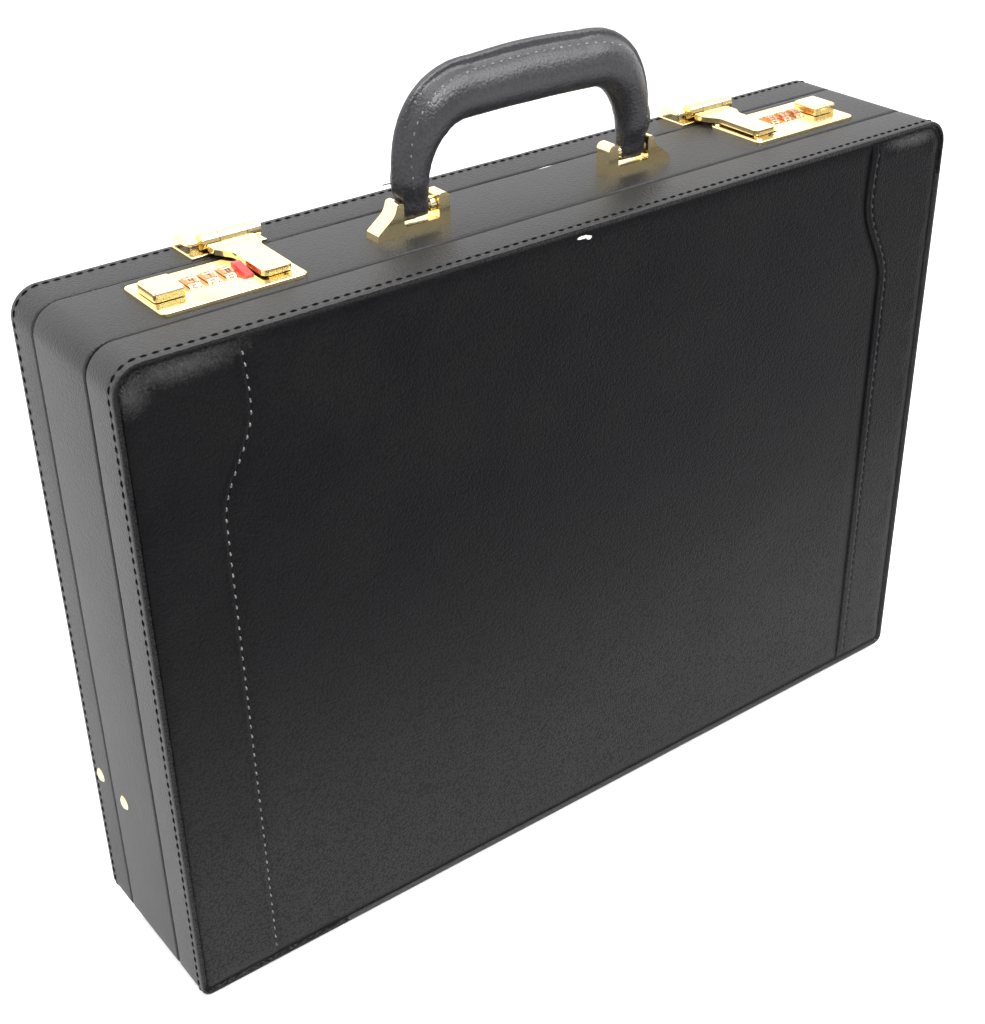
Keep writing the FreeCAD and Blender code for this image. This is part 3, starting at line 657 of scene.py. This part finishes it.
def end_panel(name, side, outer, body, node):
    """Folded-edge leather over one end of a face, padded round the rim; the two ends are sewn differently, and
    the left end's stitches use the thread painted light grey as highlight.
    """
    s = 1 if outer > 0 else -1
    # Left end: thread painted light grey as highlight; right end: plain black thread.
    shift, seam, thread = (RIGHT_SHIFT, 4.6, THREAD) if side > 0 else (0.0, 1.4, GLINT_THREAD)
    near_edge = [0, 0.1, 0.25, 0.5, 0.8, 1.1, 1.4, 1.7, 2.0, 2.4, 3.0, 3.7, 4.2, 4.6, 5.0, 5.5, 6.6, 8.2, 11]
    inner = 9
    verts = []
    for z in ROWS:
        edge, far = panel_edge(z) + shift, rim_x(z)
        width = far - edge
        left = near_edge[-1]
        right = width - NEAR_RIM[-1]
        columns = near_edge + [left + (right - left) * k / inner for k in range(1, inner)]
        columns += [width - v for v in reversed(NEAR_RIM)]
        for e in columns:
            x = edge + e
            d = max(rim_distance(x, z), 0)
            lift = 2.05 * roll(d, 6.5) * roll(e, 0.7)
            soft = roll(d, 9.0) * roll(e, 1.4)
            lift += soft * (0.30 * bell(e - 3.2, 1.3) - 0.55 * bell(e - seam, 0.55))
            crumple = bell(d - 4.0, 5.0) * roll(d, 3.0) * roll(e, 2.0) * (1.0 + ease((z - 285.0) / 30.0))
            lift += crumple * (wobble(x * side, 0, z, 3.2, 0.16, 3.0) + wobble(x * side, 0, z, 9.0, 0.30, 9.0))
            lift += soft * wobble(x * side, 0, z, 34.0, 0.18, 5.0)
            verts.append((side * x, outer - s * (2.05 - lift), z))
    count = len(verts) // len(ROWS)
    piece = make(name, verts, grid_faces(len(ROWS), count), body, SHADED_PANEL, [node], sharp=70)
    rail = []
    for k in range(160):
        z = BOTTOM + RIM + 4 + (TOP - BOTTOM - 2 * RIM - 7.5) * k / 159
        x = panel_edge(z) + shift + seam
        lift = 2.05 * roll(rim_distance(x, z), 6.5) - 0.22
        rail.append(((side * x, outer - s * (2.05 - lift), z), (0, s, 0)))
    stitches(name + "_stitches", rail, 5.1, body, length=2.3, width=0.42, thread=thread)
    return piece


def centre_panel(name, outer, body, node):
    """Plain leather over the middle of a face, tucked under both end panels."""
    s = 1 if outer > 0 else -1
    rows = ROWS[:9] + ROWS[9:-9:3] + ROWS[-9:]
    columns = 76
    verts = []
    for z in rows:
        left, right = panel_edge(z) + 0.35, panel_edge(z) + RIGHT_SHIFT + 0.35
        for j in range(columns):
            x = -left + (left + right) * j / (columns - 1)
            d = max(rim_distance(x, z), 0)
            lift = 1.35 * roll(d, 6.5)
            dip = 0.5 * bell(min(x + left, right - x), 1.8)
            lift += roll(d, 9.0) * (wobble(x, 0, z, 46.0, 0.22, 1.0) - dip)
            lift += bell(d - 4.5, 4.5) * roll(d, 3.0) * wobble(x, 0, z, 11.0, 0.22, 7.0)
            verts.append((x, outer - s * (2.05 - lift), z))
    return make(name, verts, grid_faces(len(rows), columns), body, SHADED_PANEL, [node], sharp=70)


for prefix, outer, body in (("front", FRONT, "tray"), ("back", BACK, "lid")):
    centre_panel(prefix + "_centre_panel", outer, body, prefix + "_centre_leather")
    for side_name, side in (("left", -1), ("right", 1)):
        end_panel("%s_%s_panel" % (prefix, side_name), side, outer, body, "%s_%s_leather" % (prefix, side_name))


# ---------------------------------------------------------------------- handle

def handle_curves():
    """Matching points of the handle's inner and outer edge, from the leg's end to the middle."""
    pairs = []
    for k in range(14):
        t = k / 14
        zi, zo = TOP + 5.2 + 13.8 * t, TOP + 5.2 + 18.8 * t
        flare = ease((zo - TOP - 13.5) / 7.0)
        pairs.append(((53.2 + 0.3 * t, zi), (67.6 + 3.2 * flare, zo)))
    for k in range(28):
        a = math.pi / 2 * k / 28
        xi, zi = 53.5 - 19 * (1 - math.cos(a)), TOP + 19 + 24.2 * math.sin(a)
        xo, zo = 70.8 - 42 * (1 - math.cos(a) ** 0.84), TOP + 24 + 45.4 * math.sin(a) ** 0.84
        pairs.append(((xi, zi), (xo, zo)))
    for k in range(19):
        t = k / 18
        bow = math.sin(t * math.pi / 2)
        pairs.append(((34.5 * (1 - t), TOP + 43.2 + 0.6 * bow), (28.8 * (1 - t), TOP + 69.4 + 1.3 * bow)))
    return pairs


def smooth_max(a, b, k):
    h = max(k - abs(a - b), 0) / k
    return max(a, b) + h * h * k / 4


def handle_section(i):
    """Half depth and inner radius of the handle at a step from the leg's end."""
    depth = 4.3 + 0.4 * ease(i / 6) + 2.8 * ease((i - 6) / 9) + 3.2 * ease((i - 15) / 17)
    inner = 7.2 + 1.4 * ease(i / 14) + 2.4 * ease((i - 14) / 18)
    if i < 4:
        depth *= math.sqrt(1 - ((4 - i) / 4.15) ** 2)
    return depth, inner


def handle_half_depth(n, width, depth, inner):
    """Half depth of the section at a distance n from its inner edge."""
    m = n - inner
    if m <= 0:
        return depth * math.sqrt(max(1 - (m / inner) ** 2, 0))
    tube = depth * math.sqrt(max(1 - (m / (inner * 1.08)) ** 2, 0))
    flange = min(1.9, depth * 0.9)
    over = max(n - width + flange, 0) / flange
    lip = flange * math.sqrt(max(1 - over * over, 0))
    return smooth_max(tube, lip, 2.0) if over <= 0 else max(tube, lip)


def handle():
    """Padded leather handle: a teardrop section with a stitched flange on its outer edge."""
    half = handle_curves()
    pairs = half + [((-a[0], a[1]), (-b[0], b[1])) for a, b in reversed(half[:-1])]
    last = len(pairs) - 1
    verts, faces, rails = [], [], {1: [], -1: []}
    for i, (inside, outside) in enumerate(pairs):
        width = math.dist(inside, outside)
        out = ((outside[0] - inside[0]) / width, (outside[1] - inside[1]) / width)
        step = min(i, last - i)
        depth, inner = handle_section(step)
        levels = [inner * (1 - math.cos(math.pi / 2 * k / 9)) for k in range(9)]
        levels += [inner + (width - inner - 1.9) * k / 12 for k in range(12)]
        levels += [width - 1.9 + 1.9 * math.sin(math.pi / 2 * k / 4) for k in range(5)]
        ring = [(n, handle_half_depth(n, width, depth, inner)) for n in levels]
        for n, y in ring + [(n, -y) for n, y in reversed(ring[1:-1])]:
            px, pz = inside[0] + out[0] * n, inside[1] + out[1] * n
            bend = ease((step - 12) / 6) * ease((44 - step) / 8)
            crease = bend * wobble(px * 1.4, y * 0.5, pz * 1.4, 4.5, 0.45, 2.0)
            crease -= 0.45 * bell(n - width + 6.6 - 1.3 * ease((step - 14) / 20), 0.9) * min(step / 8, 1)
            crease += wobble(px, y, pz, 18.0, 0.30, 4.0) + wobble(px, y, pz, 6.0, 0.10, 6.0)
            crease *= min(step / 8, 1)
            verts.append((HANDLE_X + px + out[0] * crease * 0.3,
                          HANDLE_Y + y + math.copysign(crease, y) * 0.9 * min(abs(y) / 4, 1),
                          pz + out[1] * crease * 0.3))
        if step > 7:
            n = width - 6.6 + 1.3 * ease((step - 14) / 20)
            y = handle_half_depth(n, width, depth, inner)
            for side in (1, -1):
                place = (HANDLE_X + inside[0] + out[0] * n, HANDLE_Y + side * (y - 0.05),
                         inside[1] + out[1] * n)
                rails[side].append((place, (out[0] * 0.3, side, out[1] * 0.3)))
    count = len(verts) // len(pairs)
    for i in range(last):
        for j in range(count):
            k = (j + 1) % count
            faces.append((i * count + j, i * count + k, (i + 1) * count + k, (i + 1) * count + j))
    faces.append(tuple(reversed(range(count))))
    faces.append(tuple(last * count + j for j in range(count)))
    piece = make("handle_leather_grip", verts, faces, "handle", GRIP, ["handle_grip"],
                 sharp=75)
    # Handle stitches use the thread painted light grey as highlight.
    for side, label in ((1, "rear"), (-1, "front")):
        stitches("handle_stitches_" + label, rails[side], 4.6, "handle", length=2.2, thread=GLINT_THREAD)


handle()


def tube(name, points, radius, body, material, sides=8):
    """Round cord through a list of points, with closed ends."""
    points = [Vector(p) for p in points]
    loops = []
    for i, p in enumerate(points):
        along = (points[min(i + 1, len(points) - 1)] - points[max(i - 1, 0)]).normalized()
        first = along.orthogonal().normalized()
        second = along.cross(first)
        loops.append([tuple(p + (first * math.cos(a) + second * math.sin(a)) * radius)
                      for a in (2 * math.pi * k / sides for k in range(sides))])
    return stack(name, loops, body, material, cap_first=True, cap_last=True)


def stack(name, loops, body, material, nodes=(), cap_first=False, cap_last=False):
    """Skin a list of loops with the same point count."""
    n = len(loops[0])
    verts = [p for loop in loops for p in loop]
    faces = []
    for i in range(len(loops) - 1):
        for j in range(n):
            k = (j + 1) % n
            faces.append((i * n + j, i * n + k, (i + 1) * n + k, (i + 1) * n + j))
    if cap_first:
        faces.append(tuple(reversed(range(n))))
    if cap_last:
        faces.append(tuple((len(loops) - 1) * n + j for j in range(n)))
    return make(name, verts, faces, body, material, nodes)


# Brass spacers on the handle's pins, and a loose end of thread
PIN_Z = TOP + 9.4
for label, side in (("left", -1), ("right", 1)):
    spacer = []
    for x, r in ((50.4, 2.9), (50.7, 3.3), (53.2, 3.3), (53.6, 2.9)):
        spacer.append([(HANDLE_X + side * x, HANDLE_Y + r * math.cos(a), PIN_Z + r * math.sin(a))
                       for a in (2 * math.pi * k / 24 for k in range(24))])
    stack(label + "_pin_spacer", spacer, "handle", BRASS, cap_first=True, cap_last=True)
THREAD_END = [(HANDLE_X - 70.0 - 0.9 * k, HANDLE_Y - 1.5 + 0.25 * k, TOP + 22.5 + 0.35 * k - 0.05 * k * k)
              for k in range(7)]
tube("loose_thread", THREAD_END, 0.3, "handle", THREAD)


# --------------------------------------------------------------- combination dials

DIGITS = [
    [[(0, 0), (2, 0), (2, 4), (0, 4), (0, 0)]],
    [[(0.4, 3.2), (1.2, 4), (1.2, 0)]],
    [[(0, 4), (2, 4), (2, 2), (0, 2), (0, 0), (2, 0)]],
    [[(0, 4), (2, 4), (2, 2), (0.5, 2)], [(2, 2), (2, 0), (0, 0)]],
    [[(0, 4), (0, 2), (2, 2)], [(2, 4), (2, 0)]],
    [[(2, 4), (0, 4), (0, 2), (2, 2), (2, 0), (0, 0)]],
    [[(2, 4), (0, 4), (0, 0), (2, 0), (2, 2), (0, 2)]],
    [[(0, 4), (2, 4), (0.8, 0)]],
    [[(0, 0), (2, 0), (2, 4), (0, 4), (0, 0)], [(0, 2), (2, 2)]],
    [[(2, 0), (2, 4), (0, 4), (0, 2), (2, 2)]],
]
DIAL_R, DIAL_Y, DIAL_Z, DIAL_X, DIAL_PITCH = 6.0, 2.3, TOP - 2.0, 153.0, 8.2


def dial_digits(name, x, body, start):
    """Inked digits between the finger notches of one wheel."""
    verts, faces = [], []

    def place(u, v, turn):
        a = turn - v / DIAL_R
        r = DIAL_R + 0.03
        return (x + u, DIAL_Y + r * math.cos(a), DIAL_Z + r * math.sin(a))

    for step in range(10):
        turn = math.radians(36 * step)
        for stroke in DIGITS[(start + step) % 10]:
            for (ax, ay), (bx, by) in zip(stroke, stroke[1:]):
                ua, va, ub, vb = (ax - 1) * 0.75, (ay - 2) * 0.46, (bx - 1) * 0.75, (by - 2) * 0.46
                length = math.hypot(ub - ua, vb - va)
                du, dv = (ub - ua) / length * 0.24, (vb - va) / length * 0.24
                first = len(verts)
                for k in range(4):
                    t = k / 3
                    u = ua - du + (ub - ua + 2 * du) * t
                    v = va - dv + (vb - va + 2 * dv) * t
                    verts += [place(u - dv, v + du, turn), place(u + dv, v - du, turn)]
                faces += [(a, a + 1, a + 3, a + 2) for a in range(first, first + 6, 2)]
    make(name, verts, faces, body, INK, sharp=80)


for label, side in (("left", -1), ("right", 1)):
    for index in range(3):
        dial_digits("%s_digits_%d" % (label, index + 1), side * (DIAL_X + DIAL_PITCH * index),
                    "%s_wheel_%d" % (label, index + 1), (3 * index + (1 if side > 0 else 5)) % 10)
    marks, triangles = [], []
    for index in range(4):
        x = side * (DIAL_X + DIAL_PITCH * (index - 0.5))
        first = len(marks)
        marks += [(x + u, DIAL_Y + v, TOP + 1.53) for u, v in ((-0.75, -0.9), (0.75, 0), (-0.75, 0.9))]
        triangles.append((first, first + 1, first + 2))
    make(label + "_arrow_marks", marks, triangles, "base", INK)


# -------------------------------------------------------------------- interior

def sleeve_end(z):
    """How far back the tray's suede sleeve reaches at height z."""
    return 8.0 - 29.1 * ease((z - 284.0) / 9.0)


def varying_band(name, section, body, material, nodes=()):
    """Sweep a closed section round the case; section(t, z) gives (inset, y) for t in 0..1."""
    count = 14
    verts = []
    insets = [section(k / count, 0)[0] for k in range(count)]
    loops = [outline(inset) for inset in insets]
    n = len(loops[0])
    for k, loop in enumerate(loops):
        for x, z, nx, nz in loop:
            _, y = section(k / count, z)
            push = wobble(x, y, z, 21.0, 0.12)
            verts.append((x + nx * push, y, z + nz * push))
    faces = []
    for i in range(count):
        a, b = i * n, ((i + 1) % count) * n
        for j in range(n):
            k = (j + 1) % n
            faces.append((a + j, a + k, b + k, b + j))
    return make(name, verts, faces, body, material, nodes)


def sleeve_section(t, z):
    """Suede sleeve with a rounded, bound rear edge."""
    end = sleeve_end(z)
    stops = [
        (6.75, -41.9), (6.75, -30.0), (6.75, -23.0), (6.7, end - 3.2), (6.55, end - 2.8), (6.6, end - 0.7),
        (7.3, end), (8.1, end), (8.8, end - 0.7), (8.85, end - 2.8), (8.6, end - 3.2), (8.55, -23.0),
        (8.55, -30.0), (8.55, -41.2),
    ]
    return stops[round(t * 14) % 14]


varying_band("tray_sleeve", sleeve_section, "tray", SUEDE, ["tray_lining"])


def sheet(name, x0, x1, z0, z1, place, body, material, nodes=(), pitch=3.0, corner=0.0):
    """Grid over a rectangle; place(x, z) gives the y of each point."""
    nx, nz = max(int((x1 - x0) / pitch), 4), max(int((z1 - z0) / pitch), 4)
    verts = []
    for i in range(nz + 1):
        z = z0 + (z1 - z0) * i / nz
        trim = 0.0
        for edge, middle in ((z0, z0 + corner), (z1, z1 - corner)):
            if corner and abs(z - edge) < corner:
                trim = corner - math.sqrt(max(corner ** 2 - (z - middle) ** 2, 0))
        for j in range(nx + 1):
            x = x0 + trim + (x1 - x0 - 2 * trim) * j / nx
            verts.append((x, place(x, z), z))
    return make(name, verts, grid_faces(nz + 1, nx + 1), body, material, nodes, sharp=60)


def board_lining(name, body, inset, face):
    """Suede stretched over a board and glued down round its edges."""
    reach = WIDTH / 2 - inset
    piece = sheet(name, -reach, reach, BOTTOM + inset, TOP - inset,
                  lambda x, z: face + wobble(x, 0, z, 30.0, 0.2, 3.0), body, SUEDE,
                  pitch=4.0, corner=2.5)


board_lining("tray_floor_lining", "tray", 8.2, -41.2)
board_lining("lid_back_lining", "lid", 6.6, 41.55)

LID_RIM = [(6.25, 41.9), (6.25, 36.0), (6.2, 34.6), (6.35, 33.9), (6.75, 33.8),
           (7.1, 34.1), (7.2, 34.8), (7.15, 36.2), (7.0, 36.6), (7.0, 41.9)]
band("lid_rim_lining", LID_RIM, "lid", SUEDE, ["lid_lining"])

WALL_LINING = [(6.2, -20.6), (6.2, 16.9), (6.45, 16.9), (6.45, -20.6)]
band("base_wall_lining", WALL_LINING, "base", SUEDE,
     path=lambda inset: outline_u(inset, TOP - 15.0))


def rect_loop(x, y0, y1, r, z, n=6):
    """Rounded rectangle in plan: half-width x, from y0 to y1."""
    loop = []
    for cx, cy, first in ((x - r, y1 - r, 0), (r - x, y1 - r, 90), (r - x, y0 + r, 180), (x - r, y0 + r, 270)):
        for k in range(n + 1):
            a = math.radians(first + 90 * k / n)
            loop.append((cx + r * math.cos(a), cy + r * math.sin(a), z))
    return loop


def works_cover():
    """Suede-covered box that hides the lock works inside the base."""
    x, y0, y1, rim, low = 195.9, -20.0, 16.4, TOP - 6.4, TOP - 13.3
    outside = [(0, rim), (0, low + 2.2), (0.3, low + 1.1), (1.1, low + 0.3), (2.2, low)]
    loops = [rect_loop(x - d, y0 + d, y1 - d, 3.0 - d * 0.6, z) for d, z in outside]
    inside = [rect_loop(x - d - 0.8, y0 + d + 0.8, y1 - d - 0.8, 2.4 - d * 0.5, z + 0.8) for d, z in outside]
    inside[0] = [(px, py, rim) for px, py, _ in inside[0]]
    floor = rect_loop(x - 8, y0 + 8, y1 - 8, 2.0, low)
    stack("works_cover_suede", loops + [floor], "base", SUEDE, ["lock_cover"], cap_last=True)
    stack("works_cover_inside", [loops[0]] + inside, "base", SUEDE, cap_last=True)


works_cover()


def patch_pocket(name, x0, x1, z0, z1, thick, nodes=()):
    """Leather pocket sewn to the lid lining on three sides, with a folded hem at its mouth."""
    def front(x, z):
        side = min(x - x0, x1 - x, z - z0)
        puff = ease(side / 16.0) * (thick - 2.2)
        hem = 0.55 * ease((z - (z1 - 9.0)) / 0.8) * ease(side / 2.0)
        return LINING_FACE - 1.1 - puff - hem - wobble(x, 0, z, 24.0, 0.22, x0) * ease(side / 8.0)
    nx, nz = max(int((x1 - x0) / 3.0), 10), max(int((z1 - z0) / 2.4), 10)
    rows = [z0 + (z1 - z0) * i / nz for i in range(nz + 1)]
    rows[-4:] = [z1 - 9.2, z1 - 8.0, z1 - 0.5, z1]
    verts, faces = [], []
    for skin in (0.0, 1.1):
        for z in rows:
            for j in range(nx + 1):
                x = x0 + (x1 - x0) * j / nx
                verts.append((x, min(front(x, z) + skin, LINING_FACE), z))
    m = (nz + 1) * (nx + 1)
    near = grid_faces(nz + 1, nx + 1)
    faces = near + [tuple(m + v for v in reversed(f)) for f in near]
    rim = list(range(nx + 1)) + [(i + 1) * (nx + 1) - 1 for i in range(1, nz + 1)]
    rim += [nz * (nx + 1) + j for j in reversed(range(nx))] + [i * (nx + 1) for i in reversed(range(1, nz))]
    for a, b in zip(rim, rim[1:] + rim[:1]):
        faces.append((b, a, m + a, m + b))
    make(name, verts, faces, "lid", POCKET, nodes, sharp=50)
    inset = 2.4
    line = [(x0 + inset, z1 - 1), (x0 + inset, z0 + inset), (x1 - inset, z0 + inset), (x1 - inset, z1 - 1)]
    rail = []
    for (ax, az), (bx, bz) in zip(line, line[1:]):
        for k in range(40):
            x, z = ax + (bx - ax) * k / 40, az + (bz - az) * k / 40
            rail.append(((x, front(x, z) + 0.08, z), (0, -1, 0)))
    stitches(name + "_stitches", rail, 3.4, "lid", width=0.34)
    hem = []
    for k in range(81):
        x, z = x0 + 3 + (x1 - x0 - 6) * k / 80, z1 - 7.4
        hem.append(((x, front(x, z) + 0.08, z), (0, -1, 0)))
    stitches(name + "_hem_stitches", hem, 3.4, "lid", width=0.34)


patch_pocket("document_pocket", -200, 200, 24, 205, 4.4, ["file_pocket"])
for index, start in enumerate((-190, -95, 10)):
    patch_pocket("card_pocket_%d" % (index + 1), start, start + 85, 225, 285, 3.0,
                 ["card_pockets"] if index == 0 else ())


def pen_loop(name, x, z0, z1, nodes=()):
    """Leather strap arched over a pen, with its ends sewn down."""
    arch = []
    for k in range(17):
        a = math.pi * k / 16
        arch.append((x - 5.4 * math.cos(a), LINING_FACE - 0.7 - 3.0 * math.sin(a)))
    under = [(x + (u - x) * 0.86, min(v + 0.75, LINING_FACE)) for u, v in arch]
    outer = [(x - 8, LINING_FACE - 0.9)] + arch + [(x + 8, LINING_FACE - 0.9)]
    inner = [(x - 8, LINING_FACE)] + under + [(x + 8, LINING_FACE)]
    section = outer + list(reversed(inner))
    levels = [(z0, 0.25), (z0 + 0.4, 0.0), (z1 - 0.4, 0.0), (z1, 0.25)]
    loops = [[(u, v + d, z) for u, v in section] for z, d in levels]
    stack(name, loops, "lid", POCKET, nodes, cap_first=True, cap_last=True)
    for side in (-1, 1):
        rail = [((x + side * 6.9, LINING_FACE - 0.86, z0 + 1.5 + (z1 - z0 - 3) * k / 8), (0, -1, 0))
                for k in range(9)]
        stitches("%s_stitches_%s" % (name, "right" if side > 0 else "left"), rail, 3.2, "lid", width=0.3)


for index, middle in enumerate((125, 150, 175)):
    pen_loop("pen_loop_%d" % (index + 1), middle, 240, 262, ["pen_loops"] if index == 0 else ())


# ------------------------------------------------------------------ CAD metal

def dress(name, material, width=0.0):
    """Give a CAD node its material and, with a width in millimetres, rounded edges."""
    obj = frame["nodes"][name]
    obj.data.materials.clear()
    obj.data.materials.append(material)
    if width:
        modifier = obj.modifiers.new("edge", "BEVEL")
        modifier.width = width * MM
        modifier.segments = 2
        modifier.limit_method = "ANGLE"
        modifier.angle_limit = math.radians(35)


for side in ("left", "right"):
    for part, width in (("lock_plate", 0.0), ("handle_bracket", 0.35), ("hasp_base", 0.2), ("hasp_arm", 0.35),
                        ("button", 0.0), ("stay_base_arm", 0.2), ("stay_lid_arm", 0.2)):
        dress("%s_%s" % (side, part), BRASS, width)
    dress(side + "_lock_housing", SATIN)
    for i in (1, 2, 3):
        dress("%s_dial_%d" % (side, i), COPPER, 0.15)
for name in ("lock_rivets", "base_stay_rivets", "lid_stay_rivets", "tray_feet", "lid_feet"):
    dress(name, BRASS, 0.12)
for name in ("base_valance", "lid_valance", "base_hinge_leaf", "lid_hinge_leaf", "hinge_pin"):
    dress(name, SATIN)
for name in ("dial_axles", "handle_fixings", "handle_core"):
    dress(name, STEEL)
for name in ("base_frame", "tray_frame", "tray_board", "lid_frame", "lid_board"):
    dress(name, PLY)
dress("lock_tab", RED)


# ------------------------------------------------------------- stage and camera

def camera():
    """A view from the left front, a little above the case."""
    data = bpy.data.cameras.new("camera")
    obj = bpy.data.objects.new("camera", data)
    bpy.context.scene.collection.objects.link(obj)
    azimuth, elevation, turn = math.radians(-36.18), math.radians(31.11), math.radians(-1.15)
    level = math.cos(elevation)
    back = Vector((math.sin(azimuth) * level, -math.cos(azimuth) * level, math.sin(elevation)))
    right = Vector((math.cos(azimuth), math.sin(azimuth), 0))
    up = back.cross(right)
    right2 = right * math.cos(turn) + up * math.sin(turn)
    up2 = up * math.cos(turn) - right * math.sin(turn)
    pose = Matrix.Identity(4)
    for column, axis in enumerate((right2, up2, back)):
        for row in range(3):
            pose[row][column] = axis[row]
    pose.translation = Vector((-0.43245, -0.55844, 0.58294))
    obj.matrix_world = pose
    data.sensor_width = 36.0
    data.lens = 57.75
    data.clip_start, data.clip_end = 0.01, 30.0
    bpy.context.scene.camera = obj


def stage():
    """Pale, faintly self-lit floor, with a recess behind the case for the open lid."""
    n = Nodes("floor")
    n.use(colour=(0.62, 0.62, 0.62), rough=0.7, specular=0.2,
          normal=n.bump(n.noise(140.0), 0.00003, 0.3))
    n.shader.inputs["Emission Color"].default_value = (1.0, 1.0, 1.0, 1.0)
    n.shader.inputs["Emission Strength"].default_value = 0.5
    size = 6000.0
    x, y0, y1, deep = 262.0, 20.0, 420.0, -60.0
    verts = [(-size, -size, 0), (size, -size, 0), (size, size, 0), (-size, size, 0),
             (-x, y0, 0), (x, y0, 0), (x, y1, 0), (-x, y1, 0),
             (-x, y0, deep), (x, y0, deep), (x, y1, deep), (-x, y1, deep)]
    ring = [(i, (i + 1) % 4, 4 + (i + 1) % 4, 4 + i) for i in range(4)]
    walls = [(4 + i, 4 + (i + 1) % 4, 8 + (i + 1) % 4, 8 + i) for i in range(4)]
    mesh = bpy.data.meshes.new("floor")
    mesh.from_pydata([tuple(c * MM for c in v) for v in verts], [], ring + walls + [(8, 9, 10, 11)])
    mesh.materials.append(n.material)
    floor = bpy.data.objects.new("floor", mesh)
    bpy.context.scene.collection.objects.link(floor)


def flag():
    """Dark card low in front of the case, seen only in reflections."""
    n = Nodes("flag")
    n.use(colour=(0.5, 0.5, 0.5), rough=0.9, specular=0.1)
    verts = [(-700.0, -1700.0, 6.0), (1500.0, -1700.0, 6.0), (1500.0, -250.0, 6.0), (-700.0, -250.0, 6.0)]
    card = make("flag", verts, [(0, 1, 2, 3)], None, n.material, ride=False)
    card.visible_camera = False
    card.visible_diffuse = False
    card.visible_shadow = False
    card.visible_transmission = False


def light(name, place, target, size, power):
    data = bpy.data.lights.new(name, "AREA")
    data.energy = power
    data.size = size
    obj = bpy.data.objects.new(name, data)
    bpy.context.scene.collection.objects.link(obj)
    obj.location = place
    obj.rotation_mode = "QUATERNION"
    obj.rotation_quaternion = (Vector(target) - Vector(place)).to_track_quat("-Z", "Y")


def world():
    """Soft light all round, brighter behind the case."""
    w = bpy.data.worlds.new("studio")
    bpy.context.scene.world = w
    w.use_nodes = True
    tree = w.node_tree
    background = tree.nodes["Background"]
    coords = tree.nodes.new("ShaderNodeTexCoord")
    split = tree.nodes.new("ShaderNodeSeparateXYZ")
    tree.links.new(coords.outputs["Generated"], split.inputs[0])
    ramp = tree.nodes.new("ShaderNodeMapRange")
    tree.links.new(split.outputs["Y"], ramp.inputs["Value"])
    ramp.inputs["From Min"].default_value = -0.8
    ramp.inputs["From Max"].default_value = 0.3
    ramp.inputs["To Min"].default_value = 0.5
    ramp.inputs["To Max"].default_value = 1.85
    tree.links.new(ramp.outputs["Result"], background.inputs["Strength"])
    background.inputs["Color"].default_value = (1.0, 1.0, 1.0, 1.0)


camera()
stage()
flag()
world()
light("overhead", (-0.5, 0.3, 2.0), (0, 0, 0.2), 1.6, 20.0)
light("key", (-0.35, -1.1, 1.45), (-0.1, 0, 0.3), 0.2, 22.0)
light("softbox", (0.8, -1.0, 1.9), (0, 0, 0.35), 1.5, 42.0)
bpy.context.scene.view_settings.view_transform = "Standard"
